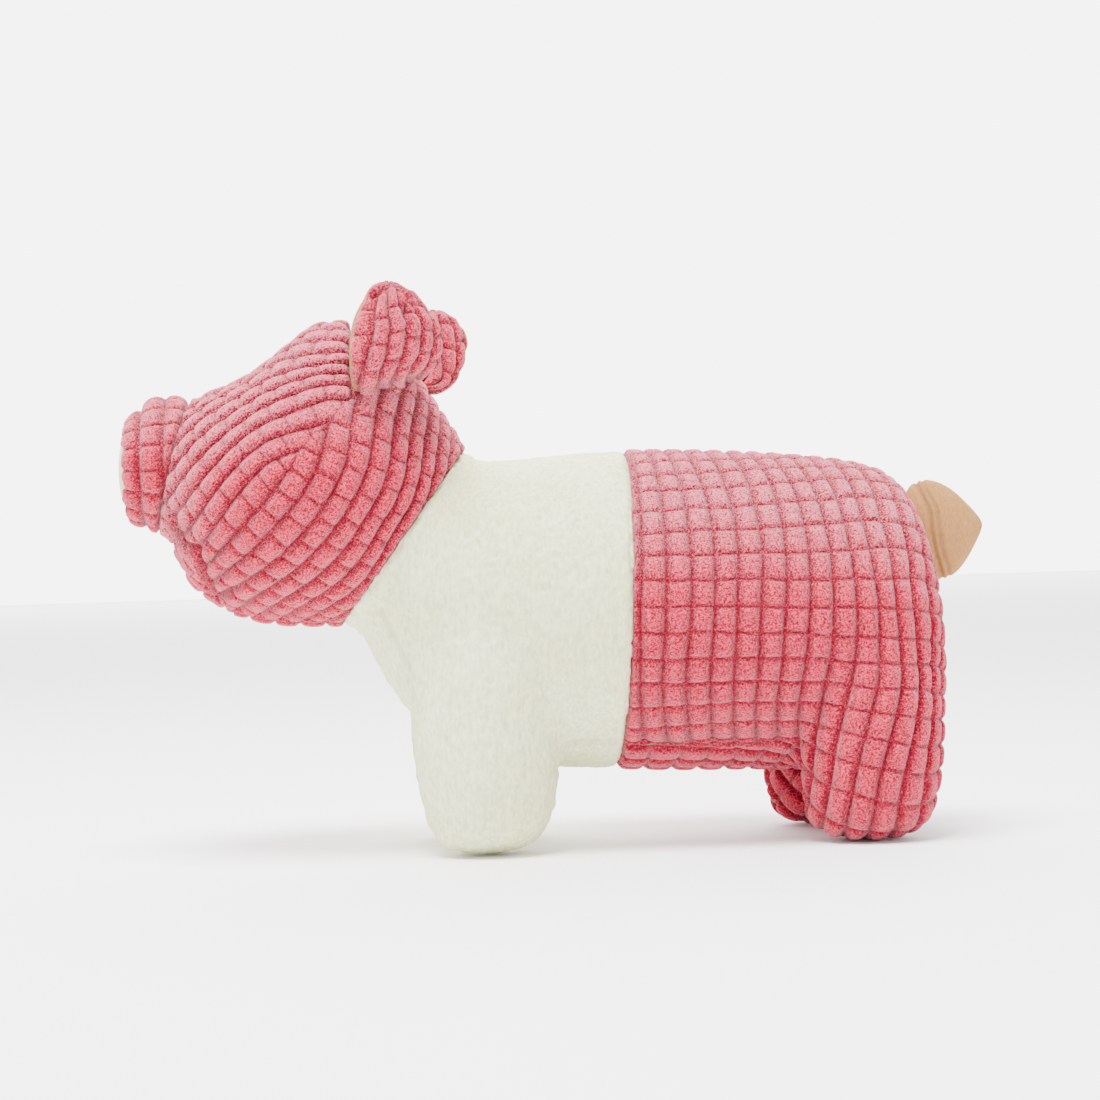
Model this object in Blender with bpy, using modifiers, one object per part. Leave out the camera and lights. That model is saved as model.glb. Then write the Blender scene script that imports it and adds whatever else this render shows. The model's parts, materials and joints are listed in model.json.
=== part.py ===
"""Stuffed toy pig that stands on four short legs and faces -X.

Units are metres and Z is up. The pig's midline is the plane Y = 0 and its left side is at -Y. The floor
is at Z = 0, and the origin lies below the middle of the pig's length.

Every soft form is a coarse cage of rings that Subdivision Surface rounds off. A cover is that form with
a wall thickness, and the filling is the same form drawn in by the wall and the seam gap.
"""
import math

import bmesh
import bpy
from mathutils import Matrix, Quaternion, Vector

# Fabric and fit
COVER_THICKNESS = 0.0025
SEAM_GAP = 0.0003
FILLING_GAP = 0.0005
SOLE_FLATTENING = 0.0005
FORM_LEVELS = 1
ROOT_GROOVE_SIDES = 16
BLOCK_SIZE = 0.5
OVERRUN = 0.03

# Torso
TORSO_FRONT_X = -0.0815
TORSO_LENGTH = 0.217
BACK_HEIGHT = 0.136
TORSO_WIDTH = 0.098
TORSO_SIDES = 8
# Each ring: top along, top height, bottom along, bottom height, half width.
TORSO_RING_SHARES = (
    (0.15, 1.06, -0.01, 0.71, 0.32),
    (0.30, 0.99, 0.06, 0.50, 0.44),
    (0.43, 0.995, 0.17, 0.225, 0.49),
    (0.57, 0.995, 0.47, 0.18, 0.50),
    (0.90, 0.955, 0.93, 0.175, 0.49),
    (0.955, 0.87, 0.995, 0.22, 0.40),
)

# Seam between the ivory front and the pink rear, which leans back towards the top
WAIST_TOP_SHARE = 0.487
WAIST_BOTTOM_SHARE = 0.452

# Neck seam between the head and the torso
NECK_TOP_SHARES = (0.228, 1.007)
NECK_BOTTOM_SHARES = (0.032, 0.588)

# Belly gussets
GUSSET_WIDTH = 0.054
FRONT_GUSSET_TOP_SHARE = 0.62
REAR_GUSSET_TOP_SHARE = 0.45
REAR_GUSSET_END_SHARE = 0.90

# Head
HEAD_FRONT_X = -0.1375
HEAD_LENGTH = 0.104
HEAD_BOTTOM_Z = 0.078
HEAD_HEIGHT = 0.107
HEAD_WIDTH = 0.098
HEAD_SIDES = 8
# Each ring: top along, top height, bottom along, bottom height, half width.
HEAD_RING_SHARES = (
    (0.08, 0.77, 0.02, 0.27, 0.30),
    (0.25, 0.785, 0.12, 0.10, 0.43),
    (0.42, 0.88, 0.28, 0.015, 0.49),
    (0.58, 1.035, 0.42, -0.005, 0.51),
    (0.82, 0.92, 0.53, -0.005, 0.49),
    (0.97, 0.66, 0.60, 0.00, 0.42),
    (1.16, 0.44, 0.76, -0.06, 0.30),
)
CHIN_GUSSET_WIDTH = 0.048
CHIN_GUSSET_TOP_SHARE = 0.29

# Snout
SNOUT_REACH = 0.0144
SNOUT_LENGTH = 0.036
SNOUT_RISE = 0.0335
SNOUT_DIAMETER = 0.0495
SNOUT_SIDES = 8
# Each ring: top along, top height, bottom along, bottom height, half width.
SNOUT_RING_SHARES = (
    (0.16, 0.85, 0.00, 0.10, 0.38),
    (0.46, 1.00, 0.25, 0.00, 0.50),
    (0.70, 0.94, 0.75, 0.02, 0.47),
    (0.94, 0.71, 1.00, 0.20, 0.30),
)
SNOUT_FACE_SHARE = 0.16

# Front legs
FRONT_LEG_SIDES = 6
FRONT_LEG_LENGTH = 0.0505
FRONT_LEG_WIDTH = 0.038
FRONT_LEG_HEIGHT = 0.070
FRONT_LEG_CENTRE_SHARE = 0.244
FRONT_LEG_SPREAD_SHARE = 0.295
# Each ring: height, centre along, half length, half width, drawn in towards the midline.
FRONT_LEG_RING_SHARES = (
    (1.00, 0.00, 0.38, 0.34, 0.18),
    (0.33, 0.00, 0.53, 0.54, 0.00),
    (0.00, 0.00, 0.39, 0.41, 0.00),
)

# Hind legs, the right one a little further forward
HIND_LEG_SIDES = 6
HIND_LEG_LENGTH = 0.050
HIND_LEG_WIDTH = 0.040
HIND_LEG_HEIGHT = 0.072
HIND_LEG_CENTRE_SHARE = 0.860
RIGHT_HIND_LEG_CENTRE_SHARE = 0.828
HIND_LEG_SPREAD_SHARE = 0.285
HIND_LEG_RING_SHARES = (
    (1.00, -0.02, 0.38, 0.34, 0.18),
    (0.33, 0.00, 0.53, 0.54, 0.00),
    (0.00, 0.00, 0.39, 0.41, 0.00),
)

# Ears, each a cupped flap on a hinge seam that lies along the head
EAR_HEIGHT = 0.028
EAR_LENGTH = 0.031
EAR_SPREAD = 0.022
EAR_BACK_THICKNESS = 0.002
EAR_LINING_THICKNESS = 0.001
EAR_ROOT_RADIUS = 0.0046
EAR_SEAT_LIFT = 0.0020
EAR_GROOVE_SHARE = 0.85
# The seat is where a line from this point of the head, leaning out by this angle, leaves the head.
LEFT_EAR_SEAT_SHARES = (0.74, 0.55)
RIGHT_EAR_SEAT_SHARES = (0.83, 0.55)
EAR_SEAT_ANGLE = math.radians(48)
# How far each ear leans out from upright
LEFT_EAR_SPLAY = math.radians(14)
RIGHT_EAR_SPLAY = math.radians(26)
# Each row of the flap: height, front edge, rear fold, half spread.
EAR_ROW_SHARES = (
    (-0.10, -0.34, 0.36, 0.080),
    (0.24, -0.40, 0.44, 0.090),
    (0.68, -0.46, 0.64, 0.50),
    (1.00, -0.22, 0.12, 0.22),
)
# Places round the flap from its outer front edge by the rear fold to its inner front edge: share of the
# way back, share of the spread.
EAR_COLUMN_SHARES = (
    (0.00, 1.00),
    (0.60, 1.05),
    (1.05, 0.05),
    (0.60, -0.95),
    (0.00, -0.90),
)

# Tail, a pointed pad whose root seam is upright
TAIL_SIDES = 6
TAIL_LENGTH = 0.024
TAIL_HEIGHT = 0.036
TAIL_THICKNESS = 0.012
TAIL_COVER_THICKNESS = 0.0015
TAIL_ROOT_RADIUS = 0.0028
TAIL_SEAT_LIFT = 0.001
TAIL_SEAT_SHARES = (0.90, 0.765)
# Each ring: along, top height, bottom height, half thickness, heights from the root's middle.
TAIL_RING_SHARES = (
    (-0.12, 0.30, -0.30, 0.14),
    (0.36, 0.58, -0.54, 0.52),
    (1.00, 0.03, -0.19, 0.17),
)

# Fabric colours
CORD_PINK = (0.72, 0.205, 0.242)
PILE_IVORY = (0.745, 0.768, 0.679)
VELVET_BEIGE = (0.624, 0.423, 0.279)
FIBRE_WHITE = (0.86, 0.86, 0.84)


def clear_scene():
    """Remove every object, so that the script can run in any file."""
    for obj in list(bpy.data.objects):
        bpy.data.objects.remove(obj)


def make_collection(name):
    """Return a new collection linked to the scene."""
    collection = bpy.data.collections.new(name)
    bpy.context.scene.collection.children.link(collection)
    return collection


def make_material(name, colour, roughness):
    """Return a fabric material with one colour."""
    material = bpy.data.materials.new(name)
    material.use_nodes = True
    shader = material.node_tree.nodes["Principled BSDF"]
    shader.inputs["Base Color"].default_value = (*colour, 1.0)
    shader.inputs["Roughness"].default_value = roughness
    shader.inputs["Metallic"].default_value = 0.0
    return material


def ring_points(top, bottom, half_width, sides):
    """Return the cage points of a rounded ring in the plane through top, bottom and the Y direction.

    The points stand outside the wanted outline by as much as one subdivision draws them in.
    """
    swell = 8.0 / (6.0 + 2.0 * math.cos(2.0 * math.pi / sides))
    centre = (top + bottom) / 2.0
    upward = (top - bottom) / 2.0 * swell
    sideways = Vector((0.0, half_width * swell, 0.0))
    points = []
    for index in range(sides):
        angle = 2.0 * math.pi * index / sides
        points.append(centre + upward * math.cos(angle) + sideways * math.sin(angle))
    return points


def loft_mesh(name, rings, closed=True):
    """Return a mesh of quads between successive rings, with both ends capped when closed."""
    bm = bmesh.new()
    rows = [[bm.verts.new(point) for point in ring] for ring in rings]
    count = len(rows[0])
    steps = count if closed else count - 1
    for near, far in zip(rows, rows[1:]):
        for index in range(steps):
            following = (index + 1) % count
            bm.faces.new((near[index], near[following], far[following], far[index]))
    if closed:
        bm.faces.new(rows[0])
        bm.faces.new(rows[-1])
    bmesh.ops.recalc_face_normals(bm, faces=bm.faces)
    mesh = bpy.data.meshes.new(name)
    bm.to_mesh(mesh)
    bm.free()
    mesh.shade_smooth()
    return mesh


def torso_point(along_share, height_share):
    """Return a point of the midline plane, given as shares of the torso's length and height."""
    return Vector((TORSO_FRONT_X + along_share * TORSO_LENGTH, 0.0, height_share * BACK_HEIGHT))


def head_point(along_share, height_share):
    """Return a point of the midline plane, given as shares of the head's length and height."""
    return Vector((HEAD_FRONT_X + along_share * HEAD_LENGTH, 0.0,
                   HEAD_BOTTOM_Z + height_share * HEAD_HEIGHT))


def snout_point(along_share, height_share):
    """Return a point of the midline plane, counted from the snout's root towards its face."""
    root_x = HEAD_FRONT_X - SNOUT_REACH + SNOUT_LENGTH
    return Vector((root_x - along_share * SNOUT_LENGTH, 0.0,
                   HEAD_BOTTOM_Z + SNOUT_RISE + height_share * SNOUT_DIAMETER))


def ringed_mesh(name, shares, place, width, sides):
    """Return the cage of a form whose rings are shares of the sizes that place() works with."""
    rings = []
    for top_along, top_height, bottom_along, bottom_height, half_width in shares:
        top = place(top_along, top_height)
        bottom = place(bottom_along, bottom_height)
        rings.append(ring_points(top, bottom, half_width * width, sides))
    return loft_mesh(name, rings)


def leg_mesh(name, shares, centre, side, length, width, height, sides):
    """Return the cage of a leg, from its top inside the torso down to its sole."""
    swell = 8.0 / (6.0 + 2.0 * math.cos(2.0 * math.pi / sides))
    rings = []
    for height_share, shift_share, length_share, width_share, inward_share in shares:
        z = height_share * (height + SOLE_FLATTENING) - SOLE_FLATTENING
        middle = Vector((centre.x + shift_share * length, centre.y - side * inward_share * width, z))
        ring = []
        for index in range(sides):
            angle = 2.0 * math.pi * (index + 0.5) / sides
            offset = Vector((length_share * length * swell * math.cos(angle),
                             width_share * width * swell * math.sin(angle), 0.0))
            ring.append(middle + offset)
        rings.append(ring)
    return loft_mesh(name, rings)


def ear_mesh(name, side):
    """Return the open, cupped surface of an ear, whose hinge seam is the local X axis."""
    rows = []
    for height_share, front_share, rear_share, spread_share in EAR_ROW_SHARES:
        row = []
        for back_share, side_share in EAR_COLUMN_SHARES:
            x = (front_share + back_share * (rear_share - front_share)) * EAR_LENGTH
            y = side * side_share * spread_share * EAR_SPREAD
            row.append(Vector((x, y, height_share * EAR_HEIGHT)))
        rows.append(row)
    mesh = loft_mesh(name, rows, closed=False)
    return mesh


def tail_mesh(name):
    """Return the cage of the tail, whose root seam is the local Z axis."""
    rings = []
    for along_share, top_share, bottom_share, thickness_share in TAIL_RING_SHARES:
        x = along_share * TAIL_LENGTH
        top = Vector((x, 0.0, top_share * TAIL_HEIGHT))
        bottom = Vector((x, 0.0, bottom_share * TAIL_HEIGHT))
        rings.append(ring_points(top, bottom, thickness_share * TAIL_THICKNESS, TAIL_SIDES))
    return loft_mesh(name, rings)


def add_object(name, mesh, collection):
    """Return a new object of this mesh, linked to the collection."""
    obj = bpy.data.objects.new(name, mesh)
    collection.objects.link(obj)
    return obj


def hide_as_guide(obj):
    """Mark an object as a cutter, which isn't a piece of the toy."""
    obj.hide_render = True
    obj.display_type = "WIRE"


def add_rounding(obj):
    """Round a cage off with one level of Subdivision Surface."""
    rounding = obj.modifiers.new("rounding", "SUBSURF")
    rounding.levels = FORM_LEVELS
    rounding.render_levels = FORM_LEVELS
    rounding.use_limit_surface = False


def add_growth(obj, distance):
    """Move the surface outwards along its normals, or inwards when the distance is negative."""
    growth = obj.modifiers.new("growth", "DISPLACE")
    growth.direction = "NORMAL"
    growth.mid_level = 0.0
    growth.strength = distance


def add_triangles(obj):
    """Split the bent quads into flat triangles, so that the cuts have one meaning."""
    obj.modifiers.new("triangles", "TRIANGULATE")


def add_wall(obj, thickness, offset):
    """Turn an open surface into a wall, outwards when the offset is 1 and inwards when it is -1."""
    wall = obj.modifiers.new("wall", "SOLIDIFY")
    wall.thickness = thickness
    wall.offset = offset


def add_boolean(obj, other, operation):
    """Cut, keep or join this object with another one."""
    boolean = obj.modifiers.new(f"{operation.lower()} {other.name}", "BOOLEAN")
    boolean.operation = operation
    boolean.object = other
    boolean.solver = "EXACT"


class Toy:
    """The collections, forms and cutters that the pieces are made from."""

    def __init__(self):
        self.pieces = make_collection("plush_pig")
        self.cutters = make_collection("cutters")

    def form(self, name, mesh, growth=0.0, parent=None):
        """Return a hidden, rounded solid of a cage, grown or drawn in."""
        obj = add_object(name, mesh, self.cutters)
        add_rounding(obj)
        if growth:
            add_growth(obj, growth)
        add_triangles(obj)
        hide_as_guide(obj)
        obj.parent = parent
        return obj

    def block(self, name, low, high):
        """Return a hidden box between two corners."""
        bm = bmesh.new()
        size = high - low
        place = Matrix.Translation((low + high) / 2.0) @ Matrix.Diagonal((*size, 1.0))
        bmesh.ops.create_cube(bm, size=1.0, matrix=place)
        mesh = bpy.data.meshes.new(name)
        bm.to_mesh(mesh)
        bm.free()
        obj = add_object(name, mesh, self.cutters)
        hide_as_guide(obj)
        return obj

    def half_space(self, name, point, direction):
        """Return a hidden block that fills the side of a plane to which direction points."""
        obj = self.block(name, Vector((-BLOCK_SIZE, -BLOCK_SIZE, 0.0)),
                         Vector((BLOCK_SIZE, BLOCK_SIZE, BLOCK_SIZE)))
        obj.location = point
        obj.rotation_mode = "QUATERNION"
        obj.rotation_quaternion = direction.to_track_quat("Z", "Y")
        return obj

    def rod(self, name, radius, length, axis, parent):
        """Return a hidden cylinder along a local axis of its parent, for a root's groove."""
        bm = bmesh.new()
        turn = Vector((0.0, 0.0, 1.0)).rotation_difference(axis).to_matrix().to_4x4()
        bmesh.ops.create_cone(bm, cap_ends=True, segments=ROOT_GROOVE_SIDES, radius1=radius,
                              radius2=radius, depth=length, matrix=turn)
        mesh = bpy.data.meshes.new(name)
        bm.to_mesh(mesh)
        bm.free()
        obj = add_object(name, mesh, self.cutters)
        hide_as_guide(obj)
        obj.parent = parent
        return obj

    def piece(self, name, mesh, material, joins=(), keeps=(), cuts=(), growth=0.0, parent=None):
        """Add one piece of the toy, rounded from a cage, grown or drawn in, then joined and cut."""
        obj = add_object(name, mesh.copy(), self.pieces)
        obj.data.name = name
        obj.data.materials.append(material)
        obj.parent = parent
        add_rounding(obj)
        if growth:
            add_growth(obj, growth)
        add_triangles(obj)
        for other in joins:
            add_boolean(obj, other, "UNION")
        for other in keeps:
            add_boolean(obj, other, "INTERSECT")
        for other in cuts:
            add_boolean(obj, other, "DIFFERENCE")
        return obj

    def hinge(self, name, place, forward, upward):
        """Return an empty on a joint's axis, with local X and Z along two square directions."""
        empty = bpy.data.objects.new(name, None)
        self.pieces.objects.link(empty)
        turn = Matrix((forward, upward.cross(forward), upward)).transposed()
        empty.location = place
        empty.rotation_euler = turn.to_euler()
        return empty


def surface_seat(form, start, direction, lift):
    """Return where a line from inside a form leaves it, lifted along the line, and the normal there."""
    bpy.context.view_layer.update()
    evaluated = form.evaluated_get(bpy.context.evaluated_depsgraph_get())
    found, place, normal, _ = evaluated.ray_cast(start, direction)
    if not found:
        raise ValueError(f"no surface of {form.name} in that direction")
    return place + direction * lift, normal


def square_to(direction, axis):
    """Return the direction's part that is square to the axis, as a unit vector."""
    return (direction - direction.dot(axis) * axis).normalized()


def build_forms(toy):
    """Make the hidden solids that the covers and fillings are cut with."""
    toy.torso_cage = ringed_mesh("torso_cage", TORSO_RING_SHARES, torso_point, TORSO_WIDTH, TORSO_SIDES)
    toy.head_cage = ringed_mesh("head_cage", HEAD_RING_SHARES, head_point, HEAD_WIDTH, HEAD_SIDES)
    toy.snout_cage = ringed_mesh("snout_cage", SNOUT_RING_SHARES, snout_point, SNOUT_DIAMETER,
                                 SNOUT_SIDES)
    toy.torso_form = toy.form("torso_form", toy.torso_cage)
    toy.torso_clearance = toy.form("torso_clearance", toy.torso_cage, SEAM_GAP)
    toy.head_form = toy.form("head_form", toy.head_cage)
    toy.head_clearance = toy.form("head_clearance", toy.head_cage, SEAM_GAP)
    toy.snout_hollow = toy.form("snout_hollow", toy.snout_cage, -COVER_THICKNESS)
    toy.snout_core = toy.form("snout_core", toy.snout_cage, -COVER_THICKNESS - FILLING_GAP)
    toy.head_hollow = toy.form("head_hollow", toy.head_cage, -COVER_THICKNESS)
    add_boolean(toy.head_hollow, toy.snout_hollow, "UNION")
    toy.body_hollow = toy.form("body_hollow", toy.torso_cage, -COVER_THICKNESS)


def build_seams(toy):
    """Make the hidden blocks that part the covers at their seams, half a gap on each side."""
    half_gap = SEAM_GAP / 2.0
    toy.floor = toy.half_space("floor", Vector((0.0, 0.0, 0.0)), Vector((0.0, 0.0, -1.0)))
    toy.left_side = toy.half_space("left_side", Vector((0.0, half_gap, 0.0)), Vector((0.0, -1.0, 0.0)))
    toy.right_side = toy.half_space("right_side", Vector((0.0, -half_gap, 0.0)), Vector((0.0, 1.0, 0.0)))

    waist_top = torso_point(WAIST_TOP_SHARE, 1.0)
    waist_bottom = torso_point(WAIST_BOTTOM_SHARE, 0.0)
    backward = Vector((0.0, 1.0, 0.0)).cross(waist_top - waist_bottom).normalized()
    toy.behind_waist = toy.half_space("behind_waist", waist_bottom - backward * half_gap, backward)
    toy.before_waist = toy.half_space("before_waist", waist_bottom + backward * half_gap, -backward)

    neck_top = torso_point(*NECK_TOP_SHARES)
    neck_bottom = torso_point(*NECK_BOTTOM_SHARES)
    towards_torso = Vector((0.0, 1.0, 0.0)).cross(neck_top - neck_bottom).normalized()
    toy.before_neck = toy.half_space("before_neck", neck_bottom + towards_torso * half_gap,
                                     -towards_torso)
    toy.behind_neck = toy.half_space("behind_neck", neck_bottom - towards_torso * half_gap,
                                     towards_torso)

    face_middle = snout_point(1.0 - SNOUT_FACE_SHARE, 0.5)
    root_middle = (snout_point(SNOUT_RING_SHARES[1][0], SNOUT_RING_SHARES[1][1])
                   + snout_point(SNOUT_RING_SHARES[1][2], SNOUT_RING_SHARES[1][3])) / 2.0
    forward = (face_middle - root_middle).normalized()
    toy.snout_front = toy.half_space("snout_front", face_middle - forward * half_gap, forward)
    toy.snout_rear = toy.half_space("snout_rear", face_middle + forward * half_gap, -forward)


def gusset_pair(toy, name, start_x, end_x, top_z, width):
    """Return the block that holds a gusset, and the one that clears it from the side panels."""
    bottom_z = -OVERRUN
    half_width = width / 2.0
    inside = toy.block(f"{name}_inside", Vector((start_x, -half_width, bottom_z)),
                       Vector((end_x, half_width, top_z)))
    gap = Vector((SEAM_GAP, SEAM_GAP, SEAM_GAP))
    outside = toy.block(f"{name}_outside", Vector((start_x, -half_width, bottom_z)) - gap,
                        Vector((end_x, half_width, top_z)) + gap)
    return inside, outside


def build_hinges(toy):
    """Place the three hinge seams on the surfaces that carry them, with the grooves for their roots."""
    rearward = Vector((1.0, 0.0, 0.0))
    upright = Vector((0.0, 0.0, 1.0))
    toy.ear_hinges = {}
    toy.ear_grooves = {}
    for label, side, shares, splay in (("left", -1.0, LEFT_EAR_SEAT_SHARES, LEFT_EAR_SPLAY),
                                       ("right", 1.0, RIGHT_EAR_SEAT_SHARES, RIGHT_EAR_SPLAY)):
        outward = Vector((0.0, side * math.sin(EAR_SEAT_ANGLE), math.cos(EAR_SEAT_ANGLE)))
        place, normal = surface_seat(toy.head_form, head_point(*shares), outward, EAR_SEAT_LIFT)
        along = square_to(rearward, normal)
        standing = square_to(upright, along)
        standing.rotate(Quaternion(along, -side * splay))
        hinge = toy.hinge(f"{label}_ear_hinge", place, along, standing)
        toy.ear_hinges[label] = hinge
        toy.ear_grooves[label] = toy.rod(f"{label}_ear_groove", EAR_ROOT_RADIUS + SEAM_GAP,
                                         EAR_LENGTH * EAR_GROOVE_SHARE, rearward, hinge)

    place, normal = surface_seat(toy.torso_form, torso_point(*TAIL_SEAT_SHARES), rearward, TAIL_SEAT_LIFT)
    standing = square_to(upright, normal)
    toy.tail_hinge = toy.hinge("tail_hinge", place, square_to(rearward, standing), standing)
    toy.tail_groove = toy.rod("tail_groove", TAIL_ROOT_RADIUS + SEAM_GAP, TAIL_HEIGHT, upright,
                              toy.tail_hinge)


def build_legs(toy, ivory, pink):
    """Add the four leg covers, open their hollows into the body's, and return their hidden cores."""
    hind_centres = {"left": HIND_LEG_CENTRE_SHARE, "right": RIGHT_HIND_LEG_CENTRE_SHARE}
    cores = []
    for label, side in (("left", -1.0), ("right", 1.0)):
        centre = torso_point(FRONT_LEG_CENTRE_SHARE, 0.0)
        centre.y = side * FRONT_LEG_SPREAD_SHARE * TORSO_WIDTH
        front = leg_mesh(f"{label}_front_leg_cage", FRONT_LEG_RING_SHARES, centre, side, FRONT_LEG_LENGTH,
                         FRONT_LEG_WIDTH, FRONT_LEG_HEIGHT, FRONT_LEG_SIDES)
        centre = torso_point(hind_centres[label], 0.0)
        centre.y = side * HIND_LEG_SPREAD_SHARE * TORSO_WIDTH
        hind = leg_mesh(f"{label}_hind_leg_cage", HIND_LEG_RING_SHARES, centre, side, HIND_LEG_LENGTH,
                        HIND_LEG_WIDTH, HIND_LEG_HEIGHT, HIND_LEG_SIDES)
        for name, cage, material in ((f"{label}_front_leg", front, ivory), (f"{label}_hind_leg", hind, pink)):
            hollow = toy.form(f"{name}_hollow", cage, -COVER_THICKNESS)
            toy.piece(f"{name}_cover", cage, material, cuts=(toy.torso_clearance, toy.floor, hollow))
            add_boolean(toy.body_hollow, hollow, "UNION")
            cores.append(toy.form(f"{name}_core", cage, -COVER_THICKNESS - FILLING_GAP))
    return cores


def build_body(toy, ivory, pink, white):
    """Add the covers and the filling of the torso and legs."""
    cores = build_legs(toy, ivory, pink)
    front_cuts = (toy.before_neck, toy.behind_waist)
    rear_cuts = (toy.before_waist, toy.tail_groove)
    front_inside, front_outside = gusset_pair(
        toy, "front_gusset", torso_point(0.0, 0.0).x - OVERRUN, torso_point(0.5, 0.0).x + OVERRUN,
        FRONT_GUSSET_TOP_SHARE * BACK_HEIGHT, GUSSET_WIDTH)
    rear_inside, rear_outside = gusset_pair(
        toy, "rear_gusset", torso_point(0.5, 0.0).x - OVERRUN, torso_point(REAR_GUSSET_END_SHARE, 0.0).x,
        REAR_GUSSET_TOP_SHARE * BACK_HEIGHT, GUSSET_WIDTH)
    for label, other_side in (("left", toy.right_side), ("right", toy.left_side)):
        toy.piece(f"{label}_shoulder_panel", toy.torso_cage, ivory,
                  cuts=(other_side, front_outside, *front_cuts, toy.body_hollow))
        toy.piece(f"{label}_flank_panel", toy.torso_cage, pink,
                  cuts=(other_side, rear_outside, *rear_cuts, toy.body_hollow))
    toy.piece("front_belly_gusset", toy.torso_cage, ivory, keeps=(front_inside,),
              cuts=(*front_cuts, toy.body_hollow))
    toy.piece("rear_belly_gusset", toy.torso_cage, pink, keeps=(rear_inside,),
              cuts=(*rear_cuts, toy.body_hollow))
    toy.piece("body_filling", toy.torso_cage, white, joins=cores, cuts=(toy.before_neck, toy.tail_groove),
              growth=-COVER_THICKNESS - FILLING_GAP)


def build_head(toy, pink, beige, white):
    """Add the covers of the head and snout, and their filling."""
    chin_inside, chin_outside = gusset_pair(
        toy, "chin_gusset", HEAD_FRONT_X - OVERRUN, HEAD_FRONT_X + HEAD_LENGTH + OVERRUN,
        HEAD_BOTTOM_Z + CHIN_GUSSET_TOP_SHARE * HEAD_HEIGHT, CHIN_GUSSET_WIDTH)
    for label, other_side in (("left", toy.right_side), ("right", toy.left_side)):
        toy.piece(f"{label}_cheek_panel", toy.head_cage, pink,
                  cuts=(other_side, chin_outside, toy.behind_neck, toy.ear_grooves[label], toy.head_hollow))
    toy.piece("chin_gusset", toy.head_cage, pink, keeps=(chin_inside,),
              cuts=(toy.behind_neck, toy.head_hollow))
    toy.piece("snout_band", toy.snout_cage, pink,
              cuts=(toy.head_clearance, toy.snout_front, toy.snout_hollow))
    toy.piece("snout_face", toy.snout_cage, beige, cuts=(toy.snout_rear, toy.snout_hollow))
    toy.piece("head_filling", toy.head_cage, white, joins=(toy.snout_core,),
              cuts=(toy.behind_neck, *toy.ear_grooves.values()), growth=-COVER_THICKNESS - FILLING_GAP)


def build_ears(toy, pink, beige):
    """Add the outer layer and the lining of each ear, carried by its hinge."""
    for label, side in (("left", -1.0), ("right", 1.0)):
        surface = ear_mesh(f"{label}_ear_cage", side)
        hinge = toy.ear_hinges[label]
        back = toy.piece(f"{label}_ear_back", surface, pink, parent=hinge)
        add_wall(back, EAR_BACK_THICKNESS, 1.0)
        lining = toy.piece(f"{label}_ear_lining", surface, beige, growth=-SEAM_GAP, parent=hinge)
        add_wall(lining, EAR_LINING_THICKNESS, -1.0)


def build_tail(toy, beige, white):
    """Add the two halves of the tail's cover and its filling, carried by the tail's hinge."""
    cage = tail_mesh("tail_cage")
    hollow = toy.form("tail_hollow", cage, -TAIL_COVER_THICKNESS, toy.tail_hinge)
    for label, other_side in (("left", toy.right_side), ("right", toy.left_side)):
        toy.piece(f"tail_{label}_panel", cage, beige, cuts=(other_side, hollow), parent=toy.tail_hinge)
    toy.piece("tail_filling", cage, white, growth=-TAIL_COVER_THICKNESS - FILLING_GAP,
              parent=toy.tail_hinge)


def main():
    """Build the whole toy."""
    clear_scene()
    toy = Toy()
    pink = make_material("pink_corduroy", CORD_PINK, 0.9)
    ivory = make_material("ivory_pile", PILE_IVORY, 0.95)
    beige = make_material("beige_velvet", VELVET_BEIGE, 0.85)
    white = make_material("fibre_filling", FIBRE_WHITE, 1.0)
    build_forms(toy)
    build_seams(toy)
    build_hinges(toy)
    build_body(toy, ivory, pink, white)
    build_head(toy, pink, beige, white)
    build_ears(toy, pink, beige)
    build_tail(toy, beige, white)


main()
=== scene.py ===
import json
import math

import bmesh
import bpy
import numpy as np
from bpy.props import FloatProperty, FloatVectorProperty, PointerProperty
from mathutils import Matrix, Quaternion, Vector, kdtree, noise


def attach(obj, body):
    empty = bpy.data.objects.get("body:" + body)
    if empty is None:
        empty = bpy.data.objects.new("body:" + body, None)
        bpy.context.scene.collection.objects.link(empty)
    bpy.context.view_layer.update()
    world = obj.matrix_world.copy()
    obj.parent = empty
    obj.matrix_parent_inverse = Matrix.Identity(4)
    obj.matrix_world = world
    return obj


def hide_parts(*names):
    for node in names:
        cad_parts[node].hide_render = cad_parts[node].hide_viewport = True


bl_info = {
    "name": "Plush pig",
    "version": (1, 0, 0),
    "blender": (4, 5, 0),
    "location": "3D View > Sidebar > Plush pig",
    "description": "Sews the fabric skins of a stuffed toy pig over its frame",
    "category": "Object",
}

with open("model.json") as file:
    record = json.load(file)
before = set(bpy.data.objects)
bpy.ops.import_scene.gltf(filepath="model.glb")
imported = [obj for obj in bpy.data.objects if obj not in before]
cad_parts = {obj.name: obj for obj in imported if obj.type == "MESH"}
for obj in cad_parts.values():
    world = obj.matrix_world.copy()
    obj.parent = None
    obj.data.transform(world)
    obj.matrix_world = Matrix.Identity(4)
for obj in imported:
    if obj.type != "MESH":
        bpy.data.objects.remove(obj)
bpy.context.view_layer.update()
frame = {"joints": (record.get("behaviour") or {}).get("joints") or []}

# Rings of each stuffed form: top along, top height, bottom along, bottom height, half width, as shares.
TORSO_RING_SHARES = (
    (0.15, 0.98, 0.02, 0.71, 0.32),
    (0.28, 0.975, 0.073, 0.50, 0.44),
    (0.43, 0.998, 0.168, 0.225, 0.49),
    (0.57, 0.998, 0.47, 0.18, 0.50),
    (0.90, 0.96, 0.93, 0.175, 0.49),
    (0.955, 0.87, 0.995, 0.22, 0.40),
)
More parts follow.
